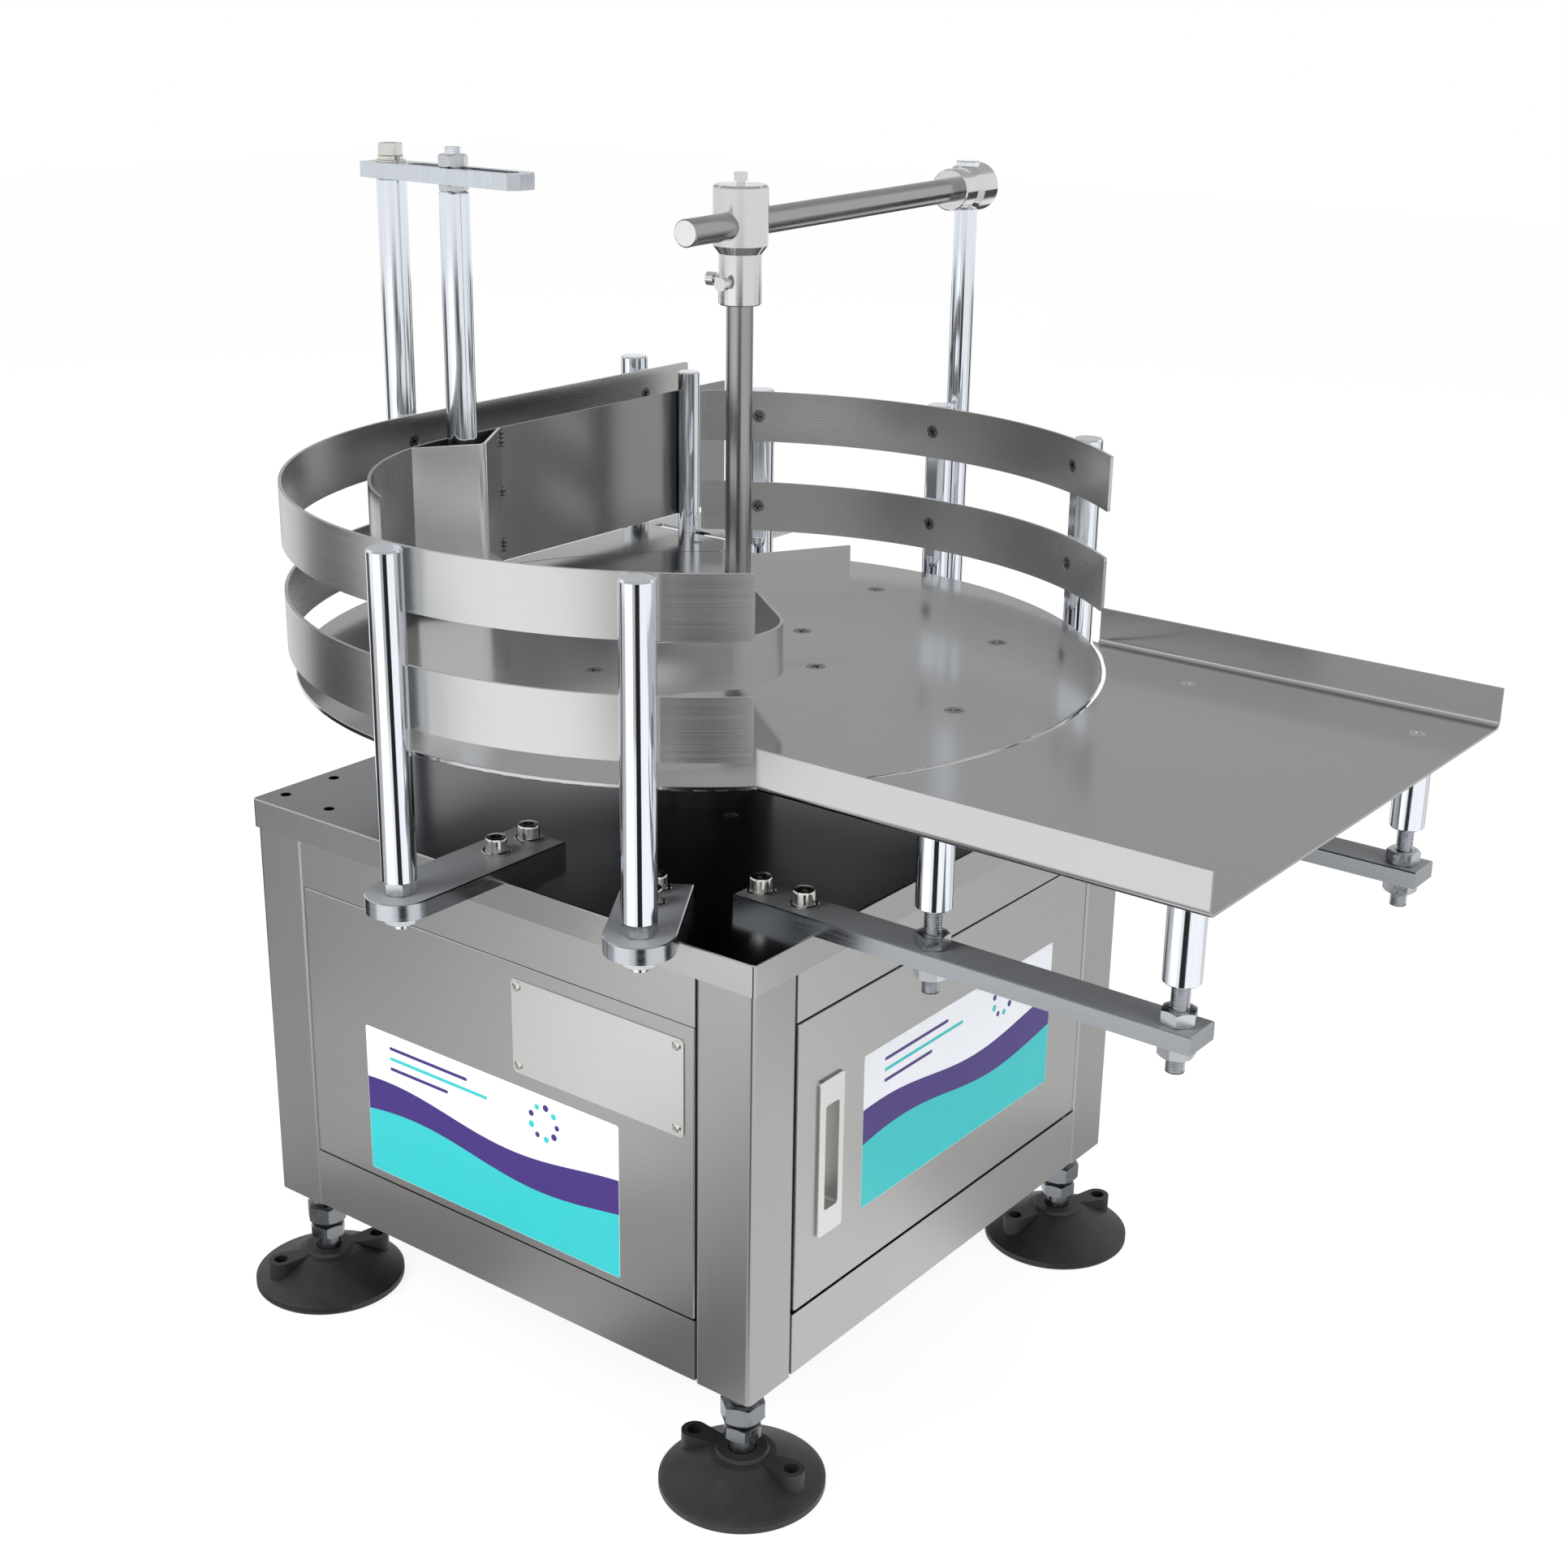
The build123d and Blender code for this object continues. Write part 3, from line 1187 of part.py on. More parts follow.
# Levelling feet: moulded pad with a ball seat, and the threaded stem with its lock nut
def foot_pad(x, y, turn):
    with BuildSketch(Plane(origin=(x, y, 0), x_dir=(1, 0, 0), z_dir=(0, -1, 0))) as profile:
        with BuildLine():
            Polyline(
                (0, 0),
                (pad_radius - pad_edge, 0),
                (pad_radius, pad_edge),
                (pad_radius, pad_rim),
                (pad_radius - pad_step[0], pad_rim + pad_step[1]),
                (pad_neck_radius + pad_collar[0], pad_height - pad_top_room - pad_collar[1]),
                (pad_neck_radius, pad_height - pad_top_room),
                (pad_neck_radius - pad_edge, pad_height),
                (0, pad_height),
                close=True,
            )
        make_face()
    revolve(profile.sketch, axis=Axis((x, y, 0), (0, 0, 1)))
    with BuildSketch(radial_plane(x, y, pad_rim - pad_edge, turn)) as lugs:
        for side in (-1, 1):
            with BuildSketch(mode=Mode.PRIVATE) as lug:
                with Locations((side * pad_hole_circle, 0)):
                    Circle(pad_lug_radius)
                with Locations((side * pad_neck_radius, 0)):
                    Circle(pad_lug_root)
                make_hull()
            add(lug.sketch)
    extrude(lugs.sketch, amount=pad_lug_height - pad_rim + pad_edge)
    for side in (-1, 1):
        hole = polar(side * pad_hole_circle, turn)
        rod(x + hole[0], y + hole[1], 0, pad_lug_height, pad_hole_radius, Mode.SUBTRACT)
    with Locations((x, y, ball_height)):
        Sphere(ball_radius + slide_gap, mode=Mode.SUBTRACT)
    rod(x, y, ball_height, pad_height, stem_radius + hole_gap, Mode.SUBTRACT)


for number, (x, y) in enumerate(foot_places, start=1):
    with BuildPart() as pad:
        foot_pad(x, y, foot_turns[number - 1])
    save(pad.part, f"foot_pad_{number}")
    with BuildPart() as stem:
        with Locations((x, y, ball_height)):
            Sphere(ball_radius)
        rod(x, y, ball_height, stem_top, stem_radius)
        hex_prism(x, y, stem_hex_low, stem_hex_height, stem_hex)
        hex_prism(x, y, lock_nut_low, lock_nut_height, lock_nut_hex)
    save(stem.part, f"foot_stem_{number}")
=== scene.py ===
import bpy
import bmesh
from math import cos, pi, radians, sin, tan
from mathutils import Matrix, Vector


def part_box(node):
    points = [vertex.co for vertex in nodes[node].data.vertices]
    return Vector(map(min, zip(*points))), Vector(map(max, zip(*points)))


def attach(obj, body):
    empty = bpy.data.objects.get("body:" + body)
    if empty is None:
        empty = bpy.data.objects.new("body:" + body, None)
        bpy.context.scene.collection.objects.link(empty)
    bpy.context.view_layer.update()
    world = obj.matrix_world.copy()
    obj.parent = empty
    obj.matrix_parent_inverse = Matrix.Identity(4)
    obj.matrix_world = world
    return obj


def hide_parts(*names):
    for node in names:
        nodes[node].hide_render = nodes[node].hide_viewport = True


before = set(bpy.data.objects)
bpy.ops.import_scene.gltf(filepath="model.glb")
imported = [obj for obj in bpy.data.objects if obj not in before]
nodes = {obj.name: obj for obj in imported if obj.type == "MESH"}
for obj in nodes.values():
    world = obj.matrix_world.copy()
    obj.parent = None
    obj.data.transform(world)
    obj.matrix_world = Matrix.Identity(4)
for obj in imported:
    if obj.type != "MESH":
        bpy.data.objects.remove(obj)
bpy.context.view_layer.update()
mm = 0.001
print("frame loaded:", len(nodes), "nodes")


# Small helpers that everything below shares

def linear(hexText):
    # an sRGB hex colour as the linear values that the shaders take
    parts = [int(hexText[i:i + 2], 16) / 255 for i in (1, 3, 5)]
    return [c / 12.92 if c <= 0.04045 else ((c + 0.055) / 1.055) ** 2.4 for c in parts] + [1.0]


def addNode(tree, kind, inputs=None, **settings):
    node = tree.nodes.new(kind)
    for name, value in settings.items():
        setattr(node, name, value)
    for key, value in (inputs or {}).items():
        if isinstance(value, bpy.types.NodeSocket):
            tree.links.new(value, node.inputs[key])
        else:
            node.inputs[key].default_value = value
    return node


def newMaterial(name):
    material = bpy.data.materials.new(name)
    material.use_nodes = True
    tree = material.node_tree
    return material, tree, tree.nodes["Principled BSDF"]


def solidsOf(nodeName):
    # the separate solids of a CAD node, each as its box and its largest flat face
    work = bmesh.new()
    work.from_mesh(nodes[nodeName].data)
    bmesh.ops.remove_doubles(work, verts=work.verts, dist=1e-6)
    left = set(work.faces)
    found = []
    while left:
        stack = [left.pop()]
        island = []
        while stack:
            face = stack.pop()
            island.append(face)
            for edge in face.edges:
                for other in edge.link_faces:
                    if other in left:
                        left.remove(other)
                        stack.append(other)
        points = [v.co.copy() for f in island for v in f.verts]
        low = Vector([min(p[i] for p in points) for i in range(3)])
        high = Vector([max(p[i] for p in points) for i in range(3)])
        sides = {}
        for face in island:
            key = tuple(round(c, 2) for c in face.normal)
            entry = sides.setdefault(key, [0.0, Vector()])
            entry[0] += face.calc_area()
            entry[1] += face.calc_center_median() * face.calc_area()
        area, total = max(sides.values(), key=lambda entry: entry[0])
        normal = Vector(max(sides, key=lambda key: sides[key][0])).normalized()
        found.append({
            "low": low, "high": high, "mid": (low + high) / 2, "face": total / area, "normal": normal})
    work.free()
    return sorted(found, key=lambda s: (round(s["mid"].x, 4), round(s["mid"].y, 4), round(s["mid"].z, 4)))


def meshObject(name, work, material=None, smooth=True):
    bmesh.ops.remove_doubles(work, verts=work.verts, dist=1e-7)
    bmesh.ops.recalc_face_normals(work, faces=work.faces)
    mesh = bpy.data.meshes.new(name)
    work.to_mesh(mesh)
    work.free()
    for polygon in mesh.polygons:
        polygon.use_smooth = smooth
    if smooth:
        mesh.set_sharp_from_angle(angle=radians(32))
    if material:
        mesh.materials.append(material)
    piece = bpy.data.objects.new(name, mesh)
    bpy.context.scene.collection.objects.link(piece)
    return piece


def settle(piece, body, slotName, *replaced):
    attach(piece, body)
    if replaced:
        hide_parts(*replaced)
    return piece


# Metals. Each entry is a real finish; grain is the size of its marks in mm along x, y and z,
# streak how far it draws reflections out across the brushing, turn a quarter for upright lines
finishes = {
    # cold rolled sheet, brushed level: soft, with very fine lines
    "brushedSheet": {"hex": "#B5B5B4", "rough": 0.30, "grain": (300, 300, 0.45), "mark": 0.035, "bump": 0.010,
                     "streak": 0.70, "turn": 0.0},
    # lid: the same sheet, clearer on top; this is the tone of its folds, and its top is painted greyer further
    # on as painted reflection
    "lidFold": {"hex": "#AEAEAD", "rough": 0.19, "grain": (300, 300, 0.45), "mark": 0.03, "bump": 0.006,
                "streak": 0.30, "turn": 0.0},
    # square tube, brushed along its length: fine upright lines
    "brushedTube": {"hex": "#A9A9A8", "rough": 0.30, "grain": (0.5, 0.5, 300), "mark": 0.035, "bump": 0.010,
                    "streak": 0.70, "turn": 0.25},
    # guide bands: bright brushed strip, clearer reflections than the panels
    "brushedBand": {"hex": "#C4C4C3", "rough": 0.24, "grain": (240, 240, 0.40), "mark": 0.045, "bump": 0.012,
                    "streak": 0.80, "turn": 0.0},
    # inner guide sheet: darker, smoother mill finish
    "millSheet": {"hex": "#8F8F8F", "rough": 0.24, "grain": (0.7, 0.7, 240), "mark": 0.03, "bump": 0.008,
                  "streak": 0.60, "turn": 0.25},
    # disc, plate and tray: bright cold rolled sheet, almost a mirror at a low angle
    "brightSheet": {"hex": "#B6B6B6", "rough": 0.14, "grain": (160, 0.8, 160), "mark": 0.02, "bump": 0.004,
                    "streak": 0.0, "turn": 0.0},
    # pocket: the same sheet, freshly folded and still bright
    "foldedSheet": {"hex": "#E6E6E4", "rough": 0.17, "grain": (0.8, 0.8, 160), "mark": 0.02, "bump": 0.004,
                    "streak": 0.0, "turn": 0.0},
    # posts: bright drawn bar with a zinc coat, a blue tint and faint upright draw lines
    "drawnBar": {"hex": "#E2E7EE", "rough": 0.09, "grain": (0.8, 0.8, 160), "mark": 0.06, "bump": 0.030,
                 "streak": 0.30, "turn": 0.25},
    # milled flats and rough drawn bar: scratched across, matt and pale
    "sawnBar": {"hex": "#D2D8DF", "rough": 0.24, "grain": (1.2, 1.2, 14), "mark": 0.10, "bump": 0.12,
                "streak": 0.0, "turn": 0.0},
    # flat bar brackets: ground on top, drawn sides
    "groundBar": {"hex": "#B7BBC1", "rough": 0.20, "grain": (24, 24, 0.8), "mark": 0.10, "bump": 0.06,
                  "streak": 0.30, "turn": 0.0},
    # tray bars: the same bar in a darker mill finish
    "hotRolledBar": {"hex": "#A0A4A9", "rough": 0.24, "grain": (30, 30, 0.8), "mark": 0.12, "bump": 0.06,
                     "streak": 0.30, "turn": 0.0},
    # clamps: turned and satin chromed
    "satinChrome": {"hex": "#D2D2D3", "rough": 0.13, "grain": (60, 60, 0.5), "mark": 0.04, "bump": 0.015,
                    "streak": 0.40, "turn": 0.0},
    # rods: ground bar with fine turning marks
    "groundRod": {"hex": "#9B9B9A", "rough": 0.20, "grain": (1.0, 1.0, 60), "mark": 0.05, "bump": 0.015,
                  "streak": 0.40, "turn": 0.0},
    # fasteners: zinc plated, slightly dull
    "zincPlate": {"hex": "#C9CCD0", "rough": 0.28, "grain": (3, 3, 3), "mark": 0.14, "bump": 0.05,
                  "streak": 0.0, "turn": 0.0},
    # foot stems: zinc plate, darker than the other fasteners
    "stemZinc": {"hex": "#8A8D91", "rough": 0.24, "grain": (3, 3, 3), "mark": 0.14, "bump": 0.05,
                 "streak": 0.0, "turn": 0.0},
    # countersunk screws: plain stainless, its darker tone partly painted shade standing in for the dark gap
    # round each sunk head
    "screwPaintedGapShade": {"hex": "#7E7E7C", "rough": 0.24, "grain": (2, 2, 2), "mark": 0.12, "bump": 0.04,
                   "streak": 0.0, "turn": 0.0},
    # stainless screws and washers: bright
    "brightScrew": {"hex": "#D6D4CF", "rough": 0.16, "grain": (2, 2, 2), "mark": 0.10, "bump": 0.03,
                    "streak": 0.0, "turn": 0.0},
    # weld metal: rippled and straw to grey where it was hot
    "weldSeam": {"hex": "#7D7872", "rough": 0.36, "grain": (2.5, 2.5, 1.2), "mark": 0.30, "bump": 0.50,
                 "streak": 0.0, "turn": 0.0},
    # hub, ring and bearing housing: oiled dark steel
    "darkSteel": {"hex": "#3B3C3E", "rough": 0.30, "grain": (40, 40, 1.5), "mark": 0.10, "bump": 0.05,
                  "streak": 0.0, "turn": 0.0},
    # rating plate and door pull: satin anodised aluminium
    "satinAluminium": {"hex": "#DCDCDA", "rough": 0.34, "grain": (120, 120, 0.5), "mark": 0.03, "bump": 0.010,
                       "streak": 0.50, "turn": 0.0},
}


# marks that every metal here shares: clouding of the sheet in mm, what it does to the gloss, depth of the lines
metalMarks = {"cloud": 125, "cloudRough": (-0.02, 0.03), "depth": 0.1}


def makeMetal(name, look):
    material, tree, shader = newMaterial(name)
    place = addNode(tree, "ShaderNodeTexCoord")
    scale = tuple(1 / (size * mm) for size in look["grain"])
    lined = addNode(tree, "ShaderNodeMapping", {"Vector": place.outputs["Object"], "Scale": scale})
    lines = addNode(tree, "ShaderNodeTexNoise", {"Vector": lined.outputs[0], "Scale": 1.0, "Detail": 3.0})
    clouds = addNode(tree, "ShaderNodeTexNoise", {
        "Vector": place.outputs["Object"], "Scale": 1 / (metalMarks["cloud"] * mm), "Detail": 2.0})
    lineRough = addNode(tree, "ShaderNodeMapRange", {
        "Value": lines.outputs["Fac"], "From Min": 0.3, "From Max": 0.7,
        "To Min": look["rough"] - look["mark"] / 2, "To Max": look["rough"] + look["mark"] / 2})
    cloudRough = addNode(tree, "ShaderNodeMapRange", {
        "Value": clouds.outputs["Fac"], "From Min": 0.3, "From Max": 0.7,
        "To Min": metalMarks["cloudRough"][0], "To Max": metalMarks["cloudRough"][1]})
    rough = addNode(tree, "ShaderNodeMath", {
        0: lineRough.outputs[0], 1: cloudRough.outputs[0]}, operation="ADD")
    tone = addNode(tree, "ShaderNodeMapRange", {
        "Value": lines.outputs["Fac"], "From Min": 0.25, "From Max": 0.75,
        "To Min": 1 - look["mark"], "To Max": 1 + look["mark"] * 0.6})
    colour = addNode(tree, "ShaderNodeMix", {
        "Factor": 1.0, 6: linear(look["hex"]), 7: tone.outputs[0]}, data_type="RGBA", blend_type="MULTIPLY")
    bump = addNode(tree, "ShaderNodeBump", {
        "Height": lines.outputs["Fac"], "Strength": look["bump"], "Distance": metalMarks["depth"] * mm})
    tree.links.new(colour.outputs[2], shader.inputs["Base Color"])
    tree.links.new(rough.outputs[0], shader.inputs["Roughness"])
    tree.links.new(bump.outputs[0], shader.inputs["Normal"])
    shader.inputs["Metallic"].default_value = 1.0
    if look["streak"]:
        level = addNode(tree, "ShaderNodeTangent", direction_type="RADIAL", axis="Z")
        tree.links.new(level.outputs[0], shader.inputs["Tangent"])
        shader.inputs["Anisotropic"].default_value = look["streak"]
        shader.inputs["Anisotropic Rotation"].default_value = look["turn"]
    return material


metals = {name: makeMetal(name, look) for name, look in finishes.items()}


def faceTone(name, base, axis, limit, tone, metallic=1.0, rough=None):
    # the same metal with another tone where its face looks along an axis,
    # further than the limit, or against it where the limit is negative; on the disc, tray and lid that tone is
    # painted shade
    material = metals[base].copy()
    material.name = name
    tree = material.node_tree
    shader = tree.nodes["Principled BSDF"]
    facing = addNode(tree, "ShaderNodeNewGeometry")
    split = addNode(tree, "ShaderNodeSeparateXYZ", {0: facing.outputs["True Normal"]})
    side = addNode(tree, "ShaderNodeMath", {0: split.outputs[axis], 1: limit},
                   operation="GREATER_THAN" if limit > 0 else "LESS_THAN")
    colour = addNode(tree, "ShaderNodeMix", {
        "Factor": side.outputs[0], 6: shader.inputs["Base Color"].links[0].from_socket,
        7: linear(tone)}, data_type="RGBA")
    tree.links.new(colour.outputs[2], shader.inputs["Base Color"])
    if metallic < 1:
        # mill scale left on the face: partly an oxide, so duller than bare metal
        scale = addNode(tree, "ShaderNodeMapRange", {
            "Value": side.outputs[0], "To Min": 1.0, "To Max": metallic})
        tree.links.new(scale.outputs[0], shader.inputs["Metallic"])
    if rough:
        gloss = addNode(tree, "ShaderNodeMix", {
            "Factor": side.outputs[0], 2: shader.inputs["Roughness"].links[0].from_socket, 3: rough})
        tree.links.new(gloss.outputs[0], shader.inputs["Roughness"])
    metals[name] = material


# disc and tray: the side that looks down is painted near black, painted shade for the unlit space under them
faceTone("discSheet", "brightSheet", "Z", -0.5, "#161617")
faceTone("traySheet", "brightSheet", "Z", -0.5, "#1E1E20")
# lid: its top is painted greyer than its folds, a painted reflection of the dark underside of the disc above it
faceTone("lidSheet", "lidFold", "Z", 0.9, "#8E8F91")
# flat bars: mill scale on the broad face, bare steel at the edges
faceTone("bracketBar", "groundBar", "Z", 0.9, "#A4A7AB", 0.35, 0.42)
faceTone("trayBar", "hotRolledBar", "Z", 0.9, "#94979B", 0.35, 0.46)
# the rod's sawn end is brighter than its ground side
faceTone("sawnRod", "groundRod", "Y", -0.9, "#E4E4E2", 1.0, 0.30)


# what all mouldings share: how uneven the gloss is, dust in patches of about 17 mm, and the dust's shade
mouldMarks = {"uneven": 0.12, "dustScale": 60.0, "dustShade": (0.8, 1.5)}


def makeMoulded(name, hexText, rough, grainMm, depthMm):
    # moulded plastic: even colour, a fine pebble from the mould and slightly uneven gloss
    material, tree, shader = newMaterial(name)
    place = addNode(tree, "ShaderNodeTexCoord")
    pebble = addNode(tree, "ShaderNodeTexNoise", {
        "Vector": place.outputs["Object"], "Scale": 1 / (grainMm * mm), "Detail": 4.0})
    gloss = addNode(tree, "ShaderNodeMapRange", {
        "Value": pebble.outputs["Fac"],
        "To Min": rough - mouldMarks["uneven"], "To Max": rough + mouldMarks["uneven"]})
    dust = addNode(tree, "ShaderNodeTexNoise", {
        "Vector": place.outputs["Object"], "Scale": mouldMarks["dustScale"], "Detail": 5.0})
    shade = addNode(tree, "ShaderNodeMapRange", {
        "Value": dust.outputs["Fac"], "From Min": 0.35, "From Max": 0.7,
        "To Min": mouldMarks["dustShade"][0], "To Max": mouldMarks["dustShade"][1]})
    colour = addNode(tree, "ShaderNodeMix", {
        "Factor": 1.0, 6: linear(hexText), 7: shade.outputs[0]}, data_type="RGBA", blend_type="MULTIPLY")
    bump = addNode(tree, "ShaderNodeBump", {
        "Height": pebble.outputs["Fac"], "Strength": 0.5, "Distance": depthMm * mm})
    tree.links.new(colour.outputs[2], shader.inputs["Base Color"])
    tree.links.new(gloss.outputs[0], shader.inputs["Roughness"])
    tree.links.new(bump.outputs[0], shader.inputs["Normal"])
    shader.inputs["IOR"].default_value = 1.53
    return material


# glass filled nylon of the foot pads, ABS of the controller's case, enamel on the motor:
# colour, roughness, size of the pebble in mm and its depth in mm
padNylon = makeMoulded("glassFilledNylon", "#1E1F21", 0.52, 1.6, 0.25)
casePlastic = makeMoulded("controllerHousingAbs", "#3A3B3D", 0.45, 0.8, 0.05)
motorPaint = makeMoulded("motorEnamelGrey", "#5B5F63", 0.38, 3.0, 0.05)


# the laminate: orange peel about 4 mm across, its gloss from dull to clear and its depth in mm
laminate = {"peelScale": 260.0, "rough": (0.28, 0.40), "depth": 0.05}


def makeFilm(name, hexText):
    # printed vinyl film under a clear laminate: flat colour with a soft gloss and slight orange peel
    material, tree, shader = newMaterial(name)
    place = addNode(tree, "ShaderNodeTexCoord")
    peel = addNode(tree, "ShaderNodeTexNoise", {
        "Vector": place.outputs["Object"], "Scale": laminate["peelScale"], "Detail": 2.0})
    gloss = addNode(tree, "ShaderNodeMapRange", {
        "Value": peel.outputs["Fac"], "To Min": laminate["rough"][0], "To Max": laminate["rough"][1]})
    bump = addNode(tree, "ShaderNodeBump", {
        "Height": peel.outputs["Fac"], "Strength": 0.15, "Distance": laminate["depth"] * mm})
    tree.links.new(gloss.outputs[0], shader.inputs["Roughness"])
    tree.links.new(bump.outputs[0], shader.inputs["Normal"])
    shader.inputs["Base Color"].default_value = linear(hexText)
    shader.inputs["IOR"].default_value = 1.49
    return material


# printed colours of the stickers
whiteFilm = makeFilm("vinylWhite", "#F0F3F9")
purpleFilm = makeFilm("vinylPurple", "#3A1C78")
tealFilm = makeFilm("vinylTeal", "#1FC3C6")
print("materials made:", len(bpy.data.materials))


# Which finish each CAD node wears
nodeFinish = {
    "brushedTube": ["corner_posts"],
    "brushedSheet": ["frame_rails", "front_panel", "left_panel", "rear_panel", "door"],
    "lidSheet": ["lid"],
    "brushedBand": ["outer_guide", "rear_guide", "deflector"],
    "millSheet": ["lane_guide"],
    "brightSheet": ["lane_plate"],
    "foldedSheet": ["guide_pocket"],
    "discSheet": ["disc"],
    "traySheet": ["tray"],
    "drawnBar": ["guide_posts", "tall_post", "arm_post", "hanger_rod", "lane_guide_post", "lane_standoffs"],
    "bracketBar": ["post_brackets", "lane_bracket"],
    "trayBar": ["tray_bars"],
    "sawnBar": ["link_bar"],
    "satinChrome": ["rear_clamp", "front_clamp", "clamp_screws"],
    "groundRod": ["deflector_rod"],
    "sawnRod": ["cross_rod"],
    "zincPlate": [
        "hanger_nuts", "lane_clamp_bolt", "hinge_pins", "foot_plugs", "motor_mount", "shaft_coupling"],
    "darkSteel": ["hub", "stiffening_ring", "bearing_housing", "bearings", "drive_shaft"],
    "satinAluminium": ["door_handle"],
}
for finish, names in nodeFinish.items():
    for name in names:
        nodes[name].data.materials.clear()
        nodes[name].data.materials.append(metals[finish])
for name, material in (
        ("gearmotor", motorPaint), ("speed_controller", casePlastic), ("cable_gland", padNylon)):
    nodes[name].data.materials.clear()
    nodes[name].data.materials.append(material)
for number in (1, 2, 3, 4):
    nodes[f"foot_pad_{number}"].data.materials.clear()
    nodes[f"foot_pad_{number}"].data.materials.append(padNylon)
print("finishes given to the frame")


# Turned and hexagonal shapes, made as rings joined one to the next

def ringStack(work, rings, count=48, centre=(0, 0), closed=True):
    # rings are (radius, height), where a radius may be a function of the angle
    rows = []
    for radius, height in rings:
        row = []
        for k in range(count):
            angle = 2 * pi * k / count
            r = radius(angle) if callable(radius) else radius
            z = height(angle) if callable(height) else height
            row.append(work.verts.new((centre[0] + r * cos(angle), centre[1] + r * sin(angle), z)))
        rows.append(row)
    for low, high in zip(rows, rows[1:]):
        for k in range(count):
            work.faces.new((low[k], low[(k + 1) % count], high[(k + 1) % count], high[k]))
    if closed:
        work.faces.new(rows[0])
        work.faces.new(rows[-1])
    return rows


def hexRadius(across):
    # distance to the side of a hexagon whose flats look along y
    def radius(angle):
        turn = (angle + pi / 6) % (pi / 3) - pi / 6
        return across / 2 / cos(turn) if abs(turn) < pi / 6 + 1e-6 else across / 2
    return radius


# face of a nut against its flats, then the thread's lead-in in mm
nutShape = {"flat": 0.96, "leadDeep": 0.6, "leadWide": 0.5}


def hexNut(work, across, height, bore, low=0.0, centre=(0, 0), turn=pi / 6, slope=30):
    # both ends are chamfered, so the sides end in shallow arcs
    flat = across / 2 * nutShape["flat"]
    deep, wide = nutShape["leadDeep"] * mm, nutShape["leadWide"] * mm
    shape = hexRadius(across)

    def side(angle):
        return shape(angle + turn)

    def drop(angle):
        return max(0.0, side(angle) - flat) * tan(radians(slope))
    rings = [
        (bore, low + height - deep),
        (bore, low + deep),
        (bore + wide, low),
        (flat, low),
        (side, lambda angle: low + drop(angle)),
        (side, lambda angle: low + height - drop(angle)),
        (flat, low + height),
        (bore + wide, low + height),
        (bore, low + height - deep),
    ]
    ringStack(work, rings, 48, centre, closed=False)


def threadedRod(work, radius, pitch, low, high, centre=(0, 0), count=20, depth=0.55):
    # a helical thread, two rows a turn, with its ends cut square
    root = radius - depth * pitch
    turns = int((high - low) / pitch) + 3
    rings = []
    for step in range(-2, 2 * turns):
        r = radius if step % 2 else root
        start = low + step * pitch / 2 - pitch

        def height(angle, start=start):
            return min(high, max(low, start + pitch * angle / (2 * pi)))
        rings.append((r, height))
    ringStack(work, rings, count, centre, closed=False)


def plainRecess(work, outline, depth, taper, top):
    # a closed well that goes down from the outline
    floor = [work.verts.new((v.co.x * taper, v.co.y * taper, top - depth)) for v in outline]
    count = len(outline)
    for k in range(count):
        work.faces.new((outline[k], outline[(k + 1) % count], floor[(k + 1) % count], floor[k]))
    work.faces.new(floor)


def faceWithHole(work, outer, inner):
    edges = []
    for loop in (outer, inner):
        for k, vert in enumerate(loop):
            edge = work.edges.get((vert, loop[(k + 1) % len(loop)]))
            edges.append(edge or work.edges.new((vert, loop[(k + 1) % len(loop)])))
    bmesh.ops.triangle_fill(work, use_beauty=True, edges=edges)


def crossOutline(work, half, width, top):
    # the twelve corners of a cross recess
    corners = [
        (half, -width), (half, width), (width, width), (width, half), (-width, half), (-width, width),
        (-half, width), (-half, -width), (-width, -width), (-width, -half), (width, -half), (width, -width),
    ]
    return [work.verts.new((x, y, top)) for x, y in corners]


# shares of the head's radius, and its rim in mm
crossShape = {"shank": 0.55, "half": 0.56, "slot": 0.14, "deep": 0.5, "taper": 0.5,
              "rimLow": 0.35, "rimHigh": 0.1, "round": 0.15}


def crossHeadScrew(radius, length):
    # a countersunk head with a cross recess, its face at z = 0
    work = bmesh.new()
    shank = radius * crossShape["shank"]
    edge = radius - crossShape["round"] * mm
    rows = ringStack(work, [
        (shank, -length), (shank, shank - radius), (radius, -crossShape["rimLow"] * mm),
        (radius, -crossShape["rimHigh"] * mm), (edge, 0.0),
    ], 32, closed=False)
    cross = crossOutline(work, radius * crossShape["half"], radius * crossShape["slot"], 0.0)
    faceWithHole(work, rows[-1], cross)
    plainRecess(work, cross, radius * crossShape["deep"], crossShape["taper"], 0.0)
    work.faces.new(rows[0])
    return work


# profile of a cap screw in mm: how far in from the head's radius, and how far up from its foot
# or down from its top; the socket's last three are shares
capShape = {"bevel": 0.25, "rim": 0.2, "foot": [(0.3, 0.05), (0, 0.5)],
            "knurl": 0.12, "knurlLow": 0.9, "knurlHigh": 1.3, "crown": [(0.1, 0.9), (0.5, 0.1), (0.9, 0)],
            "play": 1.06, "deep": 0.55, "taper": 0.94}


